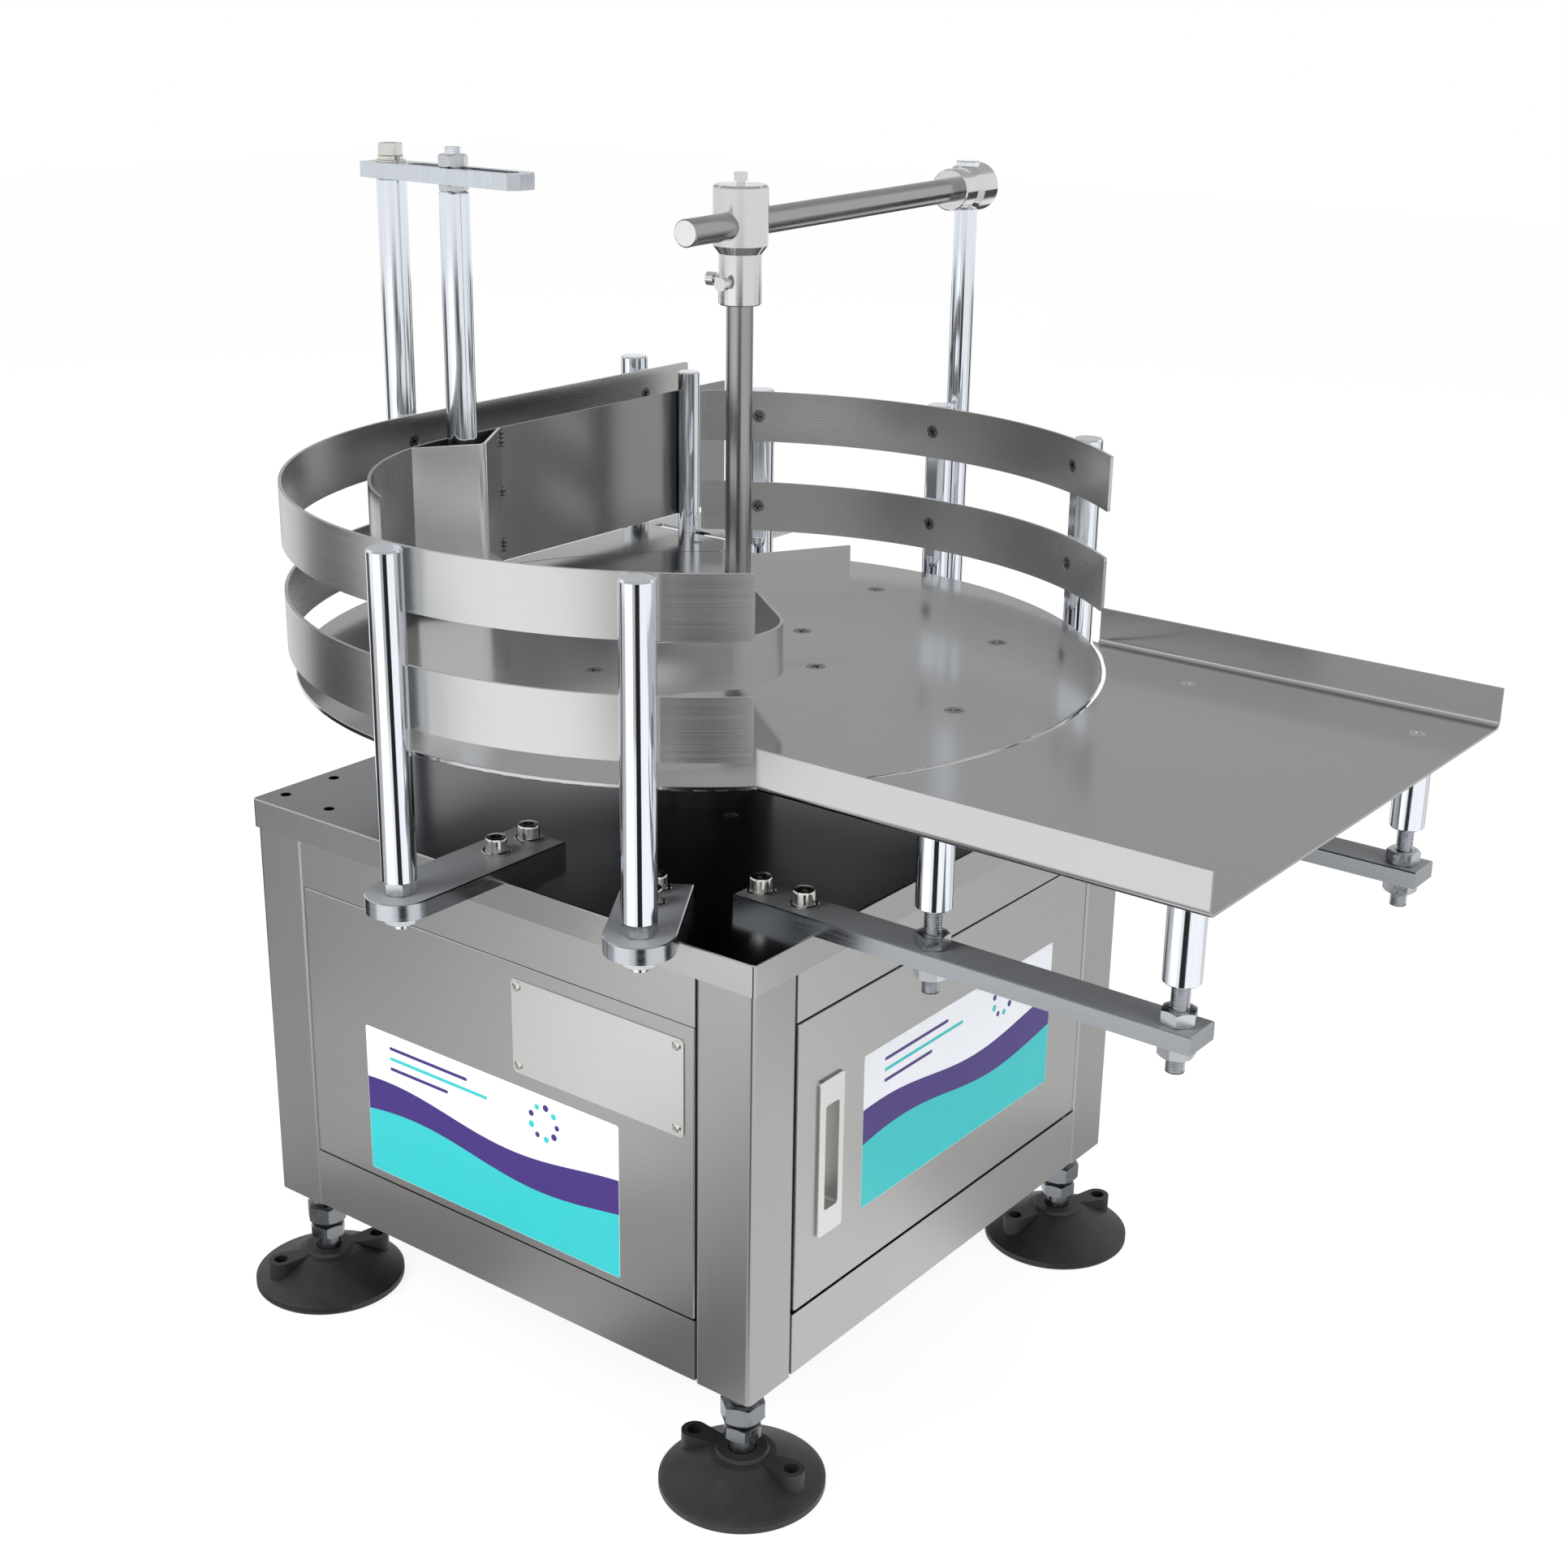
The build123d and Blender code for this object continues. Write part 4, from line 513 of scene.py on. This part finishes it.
def socketHeadScrew(head, height, socket, washer, washerHeight, sides=30):
    # a cap screw and its washer, standing on z = 0
    work = bmesh.new()
    bevel = capShape["bevel"] * mm

    def knurl(angle):
        return head - capShape["knurl"] * mm * (0.5 + 0.5 * cos(angle * sides))
    ringStack(work, [
        (0.5 * head, 0.0), (washer - capShape["rim"] * mm, 0.0), (washer, bevel), (washer, washerHeight - bevel),
        (washer - bevel, washerHeight), (0.5 * head, washerHeight),
    ], 40, closed=False)
    top = washerHeight + height
    profile = [(head * 0.8, washerHeight)]
    profile += [(head - inward * mm, washerHeight + rise * mm) for inward, rise in capShape["foot"]]
    profile += [(knurl, washerHeight + capShape["knurlLow"] * mm), (knurl, top - capShape["knurlHigh"] * mm)]
    profile += [(head - inward * mm, top - drop * mm) for inward, drop in capShape["crown"]]
    rows = ringStack(work, profile, 90, closed=False)
    work.faces.new(rows[0])
    corner = capShape["play"] * socket / 2 / cos(pi / 6)
    lip = [work.verts.new((corner * cos(k * pi / 3), corner * sin(k * pi / 3), top)) for k in range(6)]
    faceWithHole(work, rows[-1], lip)
    plainRecess(work, lip, height * capShape["deep"], capShape["taper"], top)
    return work


# Places many copies of one small part: the points carry the way each copy faces

def plantTree(name):
    tree = bpy.data.node_groups.new(name, "GeometryNodeTree")
    face = tree.interface
    face.new_socket("Geometry", in_out="INPUT", socket_type="NodeSocketGeometry")
    face.new_socket("Part", in_out="INPUT", socket_type="NodeSocketObject")
    face.new_socket("Finish", in_out="INPUT", socket_type="NodeSocketMaterial")
    face.new_socket("Spin", in_out="INPUT", socket_type="NodeSocketFloat")
    face.new_socket("Uneven", in_out="INPUT", socket_type="NodeSocketFloat")
    face.new_socket("Seed", in_out="INPUT", socket_type="NodeSocketInt")
    face.new_socket("Geometry", in_out="OUTPUT", socket_type="NodeSocketGeometry")
    entry = addNode(tree, "NodeGroupInput")
    part = addNode(tree, "GeometryNodeObjectInfo", {"Object": entry.outputs["Part"], "As Instance": True})
    facing = addNode(tree, "GeometryNodeInputNamedAttribute", {"Name": "facing"}, data_type="FLOAT_VECTOR")
    aim = addNode(tree, "FunctionNodeAlignRotationToVector", {"Vector": facing.outputs[0]}, axis="Z")
    chance = addNode(tree, "FunctionNodeRandomValue", {
        2: -1.0, 3: 1.0, "Seed": entry.outputs["Seed"]}, data_type="FLOAT")
    angle = addNode(tree, "ShaderNodeMath", {
        0: chance.outputs[1], 1: entry.outputs["Spin"]}, operation="MULTIPLY")
    roll = addNode(tree, "FunctionNodeAxisAngleToRotation", {"Axis": (0, 0, 1), "Angle": angle.outputs[0]})
    turned = addNode(tree, "FunctionNodeRotateRotation", {
        0: aim.outputs[0], 1: roll.outputs[0]}, rotation_space="LOCAL")
    spread = addNode(tree, "ShaderNodeMath", {
        0: chance.outputs[1], 1: entry.outputs["Uneven"], 2: 1.0}, operation="MULTIPLY_ADD")
    copies = addNode(tree, "GeometryNodeInstanceOnPoints", {
        "Points": entry.outputs["Geometry"], "Instance": part.outputs["Geometry"],
        "Rotation": turned.outputs[0], "Scale": spread.outputs[0]})
    real = addNode(tree, "GeometryNodeRealizeInstances", {0: copies.outputs[0]})
    finish = addNode(tree, "GeometryNodeSetMaterial", {
        "Geometry": real.outputs[0], "Material": entry.outputs["Finish"]})
    addNode(tree, "NodeGroupOutput", {0: finish.outputs[0]})
    return tree


planter = plantTree("plantParts")


def plant(name, work, places, material, body, slotName, replaced=(), spin=0.0, uneven=0.0, seed=1):
    part = meshObject(name + "Part", work)
    mesh = bpy.data.meshes.new(name + "Points")
    mesh.from_pydata([tuple(place) for place, facing in places], [], [])
    facings = mesh.attributes.new("facing", "FLOAT_VECTOR", "POINT")
    for k, (place, facing) in enumerate(places):
        facings.data[k].vector = facing
    holder = bpy.data.objects.new(name + "Holder", mesh)
    bpy.context.scene.collection.objects.link(holder)
    modifier = holder.modifiers.new("plant", "NODES")
    modifier.node_group = planter
    values = {"Part": part, "Finish": material, "Spin": spin, "Uneven": uneven, "Seed": seed}
    for item in planter.interface.items_tree:
        if item.item_type == "SOCKET" and item.in_out == "INPUT" and item.name in values:
            modifier[item.identifier] = values[item.name]
    bpy.context.view_layer.update()
    ready = holder.evaluated_get(bpy.context.evaluated_depsgraph_get())
    made = bpy.data.meshes.new_from_object(ready)
    made.name = name
    if "facing" in made.attributes:
        made.attributes.remove(made.attributes["facing"])
    holder.modifiers.remove(modifier)
    bpy.data.objects.remove(holder)
    bpy.data.objects.remove(part)
    piece = bpy.data.objects.new(name, made)
    bpy.context.scene.collection.objects.link(piece)
    return settle(piece, body, slotName, *replaced)


# Countersunk screws of the bands, the disc and the tray: head radius and length in mm
crossScrews = {"band": (4.5, 10), "disc": (6.0, 9), "tray": (4.5, 10)}


def faceOf(solid):
    return solid["face"], solid["normal"]


plant("countersunkScrews", crossHeadScrew(crossScrews["band"][0] * mm, crossScrews["band"][1] * mm),
      [faceOf(s) for s in solidsOf("countersunk_screws")], metals["screwPaintedGapShade"], "cabinet",
      "polished_steel", ["countersunk_screws"], spin=1.5, seed=4)
plant("discScrews", crossHeadScrew(crossScrews["disc"][0] * mm, crossScrews["disc"][1] * mm),
      [faceOf(s) for s in solidsOf("disc_screws")], metals["screwPaintedGapShade"], "turntable",
      "polished_steel", ["disc_screws"], spin=1.5, seed=7)
plant("trayScrews", crossHeadScrew(crossScrews["tray"][0] * mm, crossScrews["tray"][1] * mm),
      [faceOf(s) for s in solidsOf("tray_screws")], metals["brightScrew"], "takeoff_tray",
      "polished_steel", ["tray_screws"], spin=1.5, seed=9)

# Cap screws of the brackets, radii and heights in mm
capScrew = {"head": 6.5, "height": 8.0, "socket": 6.0, "washer": 8.5, "washerHeight": 1.6}
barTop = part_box("post_brackets")[1].z
plant("bracketScrews", socketHeadScrew(**{key: size * mm for key, size in capScrew.items()}),
      [((s["mid"].x, s["mid"].y, barTop), (0, 0, 1)) for s in solidsOf("bracket_screws")],
      metals["brightScrew"], "cabinet", "polished_steel", ["bracket_screws"], spin=3.0, seed=3)

nutSize = {"across": 17.0, "height": 8.0, "bore": 4.8}
work = bmesh.new()
hexNut(work, **{key: size * mm for key, size in nutSize.items()})
plant("hexNuts", work, [((s["mid"].x, s["mid"].y, s["low"].z), (0, 0, 1)) for s in solidsOf("hex_nuts")],
      metals["zincPlate"], "cabinet", "zinc_steel", ["hex_nuts"], spin=0.5, seed=12)

# Bolt of the link: cap head on a spring washer and a flat one
linkHead = {"head": 8.0, "height": 8.0, "socket": 8.0, "washer": 8.4, "washerHeight": 2.6}
linkWasher = {"bore": 5, "radius": 10, "bevel": 0.3, "height": 1.4, "shank": 4.9}
linkLow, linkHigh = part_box("link_bolt")
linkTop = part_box("link_bar")[1].z
linkCentre = ((linkLow.x + linkHigh.x) / 2, (linkLow.y + linkHigh.y) / 2)
work = socketHeadScrew(**{key: size * mm for key, size in linkHead.items()})
bmesh.ops.translate(work, verts=work.verts, vec=(0, 0, linkWasher["height"] * mm))
bore, rim, bevel, thick = (linkWasher[key] for key in ("bore", "radius", "bevel", "height"))
ringStack(work, [
    (bore * mm, 0), ((rim - bevel) * mm, 0), (rim * mm, bevel * mm), (rim * mm, (thick - bevel) * mm),
    ((rim - bevel) * mm, thick * mm), (bore * mm, thick * mm)], 40, closed=False)
bmesh.ops.translate(work, verts=work.verts, vec=(*linkCentre, linkTop))
shank = linkWasher["shank"] * mm
ringStack(work, [(shank, linkLow.z), (shank, linkTop)], 24, linkCentre)
settle(meshObject("linkBolt", work, metals["brightScrew"]), "cabinet", "polished_steel", "link_bolt")

# M10 threads: above the hanger's top nut and under the posts, radius, pitch and lengths shown in mm
thread = {"radius": 5.15, "pitch": 1.5, "hanger": 6, "proud": 0.1, "post": 4}
hangerLow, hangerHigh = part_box("hanger_rod")
work = bmesh.new()
threadedRod(work, thread["radius"] * mm, thread["pitch"] * mm,
            hangerHigh.z - thread["hanger"] * mm, hangerHigh.z + thread["proud"] * mm,
            ((hangerLow.x + hangerHigh.x) / 2, (hangerLow.y + hangerHigh.y) / 2))
settle(meshObject("hangerThread", work, metals["zincPlate"]), "inner_guide", "zinc_steel")
print("fasteners planted")

# Standoffs of the tray: turned sleeve above, threaded stud below
standoff = {"radius": 10.0, "bore": 0.3, "shoulder": 48.5, "lowBevel": 0.8, "topBevel": 0.5,
            "stud": 5.0, "pitch": 1.5, "overlap": 1}
sleeves = bmesh.new()
studs = bmesh.new()
for solid in solidsOf("tray_standoffs"):
    centre = (solid["mid"].x, solid["mid"].y)
    low = solid["low"].z
    high = solid["high"].z
    shoulder = low + standoff["shoulder"] * mm
    r = standoff["radius"] * mm
    lowBevel, topBevel = standoff["lowBevel"] * mm, standoff["topBevel"] * mm
    ringStack(sleeves, [
        (standoff["bore"] * r, shoulder), (r - lowBevel, shoulder), (r, shoulder + lowBevel),
        (r, high - topBevel), (r - topBevel, high), (standoff["bore"] * r, high),
    ], 48, centre, closed=True)
    threadedRod(studs, standoff["stud"] * mm, standoff["pitch"] * mm,
                low, shoulder + standoff["overlap"] * mm, centre)
settle(meshObject("trayStandoffs", sleeves, metals["drawnBar"]),
       "takeoff_tray", "polished_steel", "tray_standoffs")
settle(meshObject("trayStuds", studs, metals["zincPlate"]), "takeoff_tray", "zinc_steel")

threads = bmesh.new()
for solid in solidsOf("guide_posts") + solidsOf("tall_post") + solidsOf("arm_post"):
    low = solid["low"].z
    threadedRod(threads, thread["radius"] * mm, thread["pitch"] * mm, low, low + thread["post"] * mm,
                (solid["mid"].x, solid["mid"].y))
settle(meshObject("postStudThreads", threads, metals["zincPlate"]), "cabinet", "zinc_steel")

# Levelling feet, in mm: ball, threaded stem, its hexagon and the lock nut, both turned a little
foot = {"ball": 11.0, "ballMid": 15, "neck": 24, "stem": 8.0, "pitch": 2.0, "bore": 6,
        "hex": 21.0, "hexLow": 34.0, "hexHeight": 9.0, "hexTurn": 0.3, "threadLow": 42.0,
        "lock": 24.0, "lockLow": 46.0, "lockHeight": 12.0, "lockTurn": 0.1}
for number in (1, 2, 3, 4):
    low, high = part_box(f"foot_stem_{number}")
    centre = ((low.x + high.x) / 2, (low.y + high.y) / 2)
    work = bmesh.new()
    ball = foot["ball"] * mm
    stem = foot["stem"] * mm
    curve = [radians(-80 + 16 * k) for k in range(9)]
    rings = [(ball * cos(a), foot["ballMid"] * mm + ball * sin(a)) for a in curve]
    rings += [(stem, foot["neck"] * mm), (stem, foot["hexLow"] * mm)]
    ringStack(work, rings, 32, centre)
    for key in ("hex", "lock"):
        hexNut(work, foot[key] * mm, foot[key + "Height"] * mm, foot["bore"] * mm, foot[key + "Low"] * mm,
               centre, foot[key + "Turn"])
    threadedRod(work, stem, foot["pitch"] * mm, foot["threadLow"] * mm, high.z, centre, 28)
    settle(meshObject(f"footStem{number}", work, metals["stemZinc"]), f"foot_{number}", "zinc_steel",
           f"foot_stem_{number}")
print("feet and studs made")


# Tack welds where the folded pocket meets the guide sheet: bead half-sizes, how far each seam stands
# off the pocket's corner, and how far below the sheet's top its beads are, all in mm
tacks = {"size": (1.5, 1.6, 1.9), "stand": 0.9, "nearOut": -0.5, "farOut": 0.4,
         "near": (4, 7, 15, 43, 45.5, 54, 57, 82, 85), "far": (3, 6, 9, 12, 43, 46, 79, 82, 85)}
pocketLow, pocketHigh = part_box("guide_pocket")
work = bmesh.new()
bmesh.ops.create_uvsphere(work, u_segments=12, v_segments=8, radius=mm)
bmesh.ops.scale(work, vec=tacks["size"], verts=work.verts)
seams = [((pocketLow.x + tacks["stand"] * mm, corner.y + tacks[key + "Out"] * mm, pocketHigh.z - drop * mm),
          (0, 0, 1)) for corner, key in ((pocketLow, "near"), (pocketHigh, "far")) for drop in tacks[key]]
plant("pocketWelds", work, seams, metals["weldSeam"], "inner_guide", "brushed_stainless",
      spin=0.4, uneven=0.22, seed=21)
print("welds laid:", len(seams))


# Flat pieces laid on a panel: an outline in panel coordinates, given a thickness

def roundedOutline(x0, y0, x1, y1, radius, steps=6):
    points = []
    for cx, cy, start in ((x1 - radius, y1 - radius, 0), (x0 + radius, y1 - radius, 90),
                          (x0 + radius, y0 + radius, 180), (x1 - radius, y0 + radius, 270)):
        for k in range(steps + 1):
            angle = radians(start + 90 * k / steps)
            points.append((cx + radius * cos(angle), cy + radius * sin(angle)))
    return points


def layPatch(work, outline, place, base, thick, slot=0):
    # place turns panel coordinates and a height above the panel into the frame
    low = [work.verts.new(place(x, y, base)) for x, y in outline]
    high = [work.verts.new(place(x, y, base + thick)) for x, y in outline]
    count = len(outline)
    made = [work.faces.new(low), work.faces.new(high)]
    for k in range(count):
        made.append(work.faces.new((low[k], low[(k + 1) % count], high[(k + 1) % count], high[k])))
    for face in made:
        face.material_index = slot


def onFront(x, y, height):
    return (x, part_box("front_panel")[0].y - height, y)


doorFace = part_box("rear_panel")[1].y  # the closed door lies as far out as the rear panel


def onDoor(x, y, height):
    return (doorFace + height, x, y)


# Stickers: thicknesses and corner in mm, the rest as shares of the sticker's width or height
printed = {
    "corner": 1.5, "film": 0.12, "ink": 0.05, "inset": 0.2,
    "teal": (0.40, 0.4), "purple": (0.60, 1.0), "wave": 0.055, "steps": 28,
    "dots": 9, "dotsAt": (0.72, 0.82), "dotsRing": 0.105, "dot": (0.018, 0.002), "dotSides": 16,
    "bars": ((0.10, 0.42, 0.90), (0.10, 0.50, 0.83), (0.10, 0.34, 0.76)), "barHalf": 0.011,
}


def makeSticker(name, low, high, place, body):
    # white film with two printed waves and a ring of dots: no lettering
    width, height = high[0] - low[0], high[1] - low[1]
    work = bmesh.new()
    film = printed["film"] * mm
    layPatch(work, roundedOutline(*low, *high, printed["corner"] * mm), place, 0.0, film, 0)

    def waveLine(level, phase):
        line = []
        for k in range(printed["steps"] + 1):
            t = k / printed["steps"]
            rise = level + printed["wave"] * sin(2 * pi * t + phase)
            line.append((low[0] + inset + (width - 2 * inset) * t, low[1] + height * rise))
        return line
    inset = printed["inset"] * mm
    ink = printed["ink"] * mm
    tealTop = waveLine(*printed["teal"])
    purpleTop = waveLine(*printed["purple"])
    base = low[1] + inset
    teal = [(low[0] + inset, base), (high[0] - inset, base)] + tealTop[::-1]
    layPatch(work, teal, place, film, ink, 2)
    layPatch(work, tealTop + purpleTop[::-1], place, film, ink, 1)
    # dots round a centre, as jars stand on a turntable seen from above
    middle = (low[0] + printed["dotsAt"][0] * width, low[1] + printed["dotsAt"][1] * height)
    ring = printed["dotsRing"] * height
    for k in range(printed["dots"]):
        angle = 2 * pi * k / printed["dots"]
        spot = (middle[0] + ring * cos(angle), middle[1] + ring * sin(angle))
        size = (printed["dot"][0] + printed["dot"][1] * (k % 3)) * height
        turns = [2 * pi * j / printed["dotSides"] for j in range(printed["dotSides"])]
        outline = [(spot[0] + size * cos(turn), spot[1] + size * sin(turn)) for turn in turns]
        layPatch(work, outline, place, film, ink, 1 + k % 2)
    half = printed["barHalf"] * height
    for k, (start, end, level) in enumerate(printed["bars"]):
        x0, x1, y = low[0] + start * width, low[0] + end * width, low[1] + level * height
        layPatch(work, roundedOutline(x0, y - half, x1, y + half, half * 0.98, 4), place, film, ink, 1 + k % 2)
    bmesh.ops.recalc_face_normals(work, faces=work.faces)
    mesh = bpy.data.meshes.new(name)
    work.to_mesh(mesh)
    work.free()
    for material in (whiteFilm, purpleFilm, tealFilm):
        mesh.materials.append(material)
    piece = bpy.data.objects.new(name, mesh)
    bpy.context.scene.collection.objects.link(piece)
    return settle(piece, body, "grey_paint")


# lower left and upper right corner of each sticker on its panel, in metres
makeSticker("frontSticker", (-0.1075, 0.1183), (0.102, 0.2187), onFront, "cabinet")
makeSticker("doorSticker", (-0.093, 0.152), (0.116, 0.2525), onDoor, "door_leaf")

# Blank rating plate with its blind rivets, in mm; a rivet's profile is its radii and heights
plate = {"low": (20.5, 228.0), "high": (151.0, 288.6), "corner": 3.0, "thick": 0.8,
         "rivets": [(25.0, 233.4), (146.0, 233.4), (25.0, 284.2), (146.0, 284.2)],
         "rivet": [(3.1, 0.0), (3.1, 0.25), (2.5, 0.85), (1.5, 1.15), (1.1, 1.15), (1.0, 0.35)]}
work = bmesh.new()
layPatch(work, roundedOutline(*(v * mm for v in plate["low"] + plate["high"]), plate["corner"] * mm),
         onFront, 0.0, plate["thick"] * mm)
settle(meshObject("ratingPlate", work, metals["satinAluminium"], smooth=False), "cabinet", "aluminium")
work = bmesh.new()
ringStack(work, [(radius * mm, height * mm) for radius, height in plate["rivet"]], 24)
plant("plateRivets", work,
      [(onFront(x * mm, y * mm, plate["thick"] * mm), (0, -1, 0)) for x, y in plate["rivets"]],
      metals["brightScrew"], "cabinet", "polished_steel")
print("stickers and plate laid")


# Camera at the photograph's place: metres, turns in radians, lens and sensor in mm
view = {"place": (0.870667, -1.062070, 0.848932), "yaw": -0.6480, "pitch": 0.3498, "roll": 0.0154,
        "lens": 52.17, "sensor": 36.0, "near": 0.05}
yaw, pitch, roll = view["yaw"], view["pitch"], view["roll"]
forward = Vector((sin(yaw) * cos(pitch), cos(yaw) * cos(pitch), -sin(pitch)))
level = Vector((cos(yaw), -sin(yaw), 0))
upright = level.cross(forward)
right = level * cos(roll) + upright * sin(roll)
up = upright * cos(roll) - level * sin(roll)
camera = bpy.data.objects.new("camera", bpy.data.cameras.new("camera"))
camera.data.lens = view["lens"]
camera.data.sensor_width = view["sensor"]
camera.data.clip_start = view["near"]
camera.matrix_world = Matrix((
    (right.x, up.x, -forward.x, view["place"][0]),
    (right.y, up.y, -forward.y, view["place"][1]),
    (right.z, up.z, -forward.z, view["place"][2]),
    (0, 0, 0, 1),
))
bpy.context.scene.collection.objects.link(camera)
bpy.context.scene.camera = camera

# Studio: pale floor, white surroundings, soft boxes, and cards that only metal sees
studio = {"floorSize": 14.0, "floorHex": "#F4F4F4", "floorRough": 0.9, "floorShine": 1.1,
          "floorGlow": 0.80, "fill": 0.55}


def backdropFactor(tree):
    # 1 for rays that show the background: straight, mirrored or through glass
    path = addNode(tree, "ShaderNodeLightPath")
    first = addNode(tree, "ShaderNodeMath", {
        0: path.outputs["Is Camera Ray"], 1: path.outputs["Is Glossy Ray"]}, operation="MAXIMUM")
    return addNode(tree, "ShaderNodeMath", {
        0: first.outputs[0], 1: path.outputs["Is Transmission Ray"]}, operation="MAXIMUM").outputs[0]


floorMaterial, floorTree, floorShader = newMaterial("paperSweep")
floorShader.inputs["Base Color"].default_value = linear(studio["floorHex"])
floorShader.inputs["Roughness"].default_value = studio["floorRough"]
glow = addNode(floorTree, "ShaderNodeEmission", {"Color": (1, 1, 1, 1), "Strength": studio["floorShine"]})
share = addNode(floorTree, "ShaderNodeMath", {
    0: backdropFactor(floorTree), 1: studio["floorGlow"]}, operation="MULTIPLY")
blend = addNode(floorTree, "ShaderNodeMixShader", {
    0: share.outputs[0], 1: floorShader.outputs[0], 2: glow.outputs[0]})
floorTree.links.new(blend.outputs[0], floorTree.nodes["Material Output"].inputs["Surface"])
work = bmesh.new()
bmesh.ops.create_grid(work, x_segments=1, y_segments=1, size=studio["floorSize"] / 2)
meshObject("floor", work, floorMaterial, smooth=False)

world = bpy.data.worlds.new("studio")
bpy.context.scene.world = world
world.use_nodes = True
worldTree = world.node_tree
dim = worldTree.nodes["Background"]
dim.inputs["Color"].default_value = (1, 1, 1, 1)
dim.inputs["Strength"].default_value = studio["fill"]
white = addNode(worldTree, "ShaderNodeBackground", {"Color": (1, 1, 1, 1), "Strength": 1.0})
mixed = addNode(worldTree, "ShaderNodeMixShader", {
    0: backdropFactor(worldTree), 1: dim.outputs[0], 2: white.outputs[0]})
worldTree.links.new(mixed.outputs[0], worldTree.nodes["World Output"].inputs["Surface"])

# Cards that only shiny faces see. The upright one has an azimuth, distance, width, low and high edge
# and a brightness; the one over it hangs from four corners round the same azimuth
cards = {"cardBack": (127, 3.4, 6.5, 1.15, 4.4, 0.54)}
overhead = {"azimuth": 127, "corners": (-55, 55, 125, -125), "distance": 4.6, "height": 4.4, "level": 0.54}
# Sectors lying on the floor, which is what the upright faces mirror:
# first and last azimuth, near and far edge in metres, brightness
sectorLift = 0.002
floorCards = {
    "sectorLeft": (-175, -143, 0.72, 2.05, 0.04),
    "sectorLeftFar": (-175, -143, 2.05, 5.0, 0.12),
    "sectorFront": (-143, -117, 0.72, 2.05, 0.55),
    "sectorFrontFar": (-143, -117, 2.05, 5.0, 1.10),
    "sectorBright": (-117, -74, 0.80, 5.0, 1.40),
    "sectorSoft": (-74, -60, 1.6, 5.0, 0.55),
    "sectorSoftNear": (-74, -60, 0.72, 1.6, 1.10),
    "sectorCamera": (-60, -37, 0.45, 5.0, 0.02),
    "sectorDoor": (30, 60, 0.45, 5.0, 0.80),
    "sectorFar": (66, 84, 0.45, 5.0, 0.06),
    "sectorRear": (100, 118, 0.45, 5.0, 0.06),
    "sectorRearLeft": (140, 156, 0.45, 5.0, 0.08),
    # the floor close to the machine stands in its shade
    "shadeFront": (-165, -120, 0.42, 0.72, 0.62),
    "shadeMiddle": (-120, -99, 0.42, 0.72, 1.00),
    "shadeCorner": (-99, -63, 0.42, 0.72, 0.50),
    "shadeNear": (-165, -105, 0.24, 0.42, 0.32),
    "shadeNearMiddle": (-105, -86, 0.24, 0.42, 0.62),
    "shadeNearCorner": (-86, -63, 0.24, 0.42, 0.22),
    "shadeRight": (-37, 26, 0.24, 0.45, 1.10),
    "shadeDoor": (26, 60, 0.24, 0.45, 0.55),
}


def cardMaterial(name, level):
    material, tree, shader = newMaterial(name + "Cloth")
    glow = addNode(tree, "ShaderNodeEmission", {"Color": (1, 1, 1, 1), "Strength": level})
    tree.links.new(glow.outputs[0], tree.nodes["Material Output"].inputs["Surface"])
    return material


def setCard(name, corners, level):
    work = bmesh.new()
    work.faces.new([work.verts.new(corner) for corner in corners])
    card = meshObject(name, work, cardMaterial(name, level), smooth=False)
    card.visible_camera = False
    card.visible_diffuse = False
    card.visible_shadow = False


def around(azimuth, distance, height=0.0):
    return Vector((distance * cos(radians(azimuth)), distance * sin(radians(azimuth)), height))


for name, (azimuth, distance, width, low, high, level) in cards.items():
    middle = around(azimuth, distance)
    side = around(azimuth + 90, width / 2)
    setCard(name, [middle - side + Vector((0, 0, low)), middle + side + Vector((0, 0, low)),
                   middle + side + Vector((0, 0, high)), middle - side + Vector((0, 0, high))], level)
setCard("cardOver", [around(overhead["azimuth"] + turn, overhead["distance"], overhead["height"])
                     for turn in overhead["corners"]], overhead["level"])
for name, (first, last, near, far, level) in floorCards.items():
    steps = [first + (last - first) * k / 12 for k in range(13)]
    inner = [around(a, near, sectorLift) for a in steps]
    outer = [around(a, far, sectorLift) for a in steps[::-1]]
    setCard(name, inner + outer, level)

# Soft boxes: place, aim, width and height in metres, watts
lamps = {
    "softBoxLeft": ((-0.9, -2.3, 1.9), (0, 0, 0.3), 1.3, 1.6, 52),
    "softBoxRight": ((2.1, -0.2, 1.7), (0, 0, 0.3), 1.0, 1.6, 26),
    "softBoxTop": ((0.0, 0.4, 3.0), (0, 0, 0.4), 1.8, 1.8, 40),
}
for name, (place, aim, width, height, watts) in lamps.items():
    lamp = bpy.data.objects.new(name, bpy.data.lights.new(name, "AREA"))
    lamp.data.shape = "RECTANGLE"
    lamp.data.size = width
    lamp.data.size_y = height
    lamp.data.energy = watts
    lamp.location = place
    lamp.rotation_euler = (Vector(aim) - Vector(place)).to_track_quat("-Z", "Y").to_euler()
    lamp.visible_glossy = False  # metal mirrors the cards, not the boxes
    bpy.context.scene.collection.objects.link(lamp)
bpy.context.scene.view_settings.view_transform = "Standard"
print("camera and studio set")
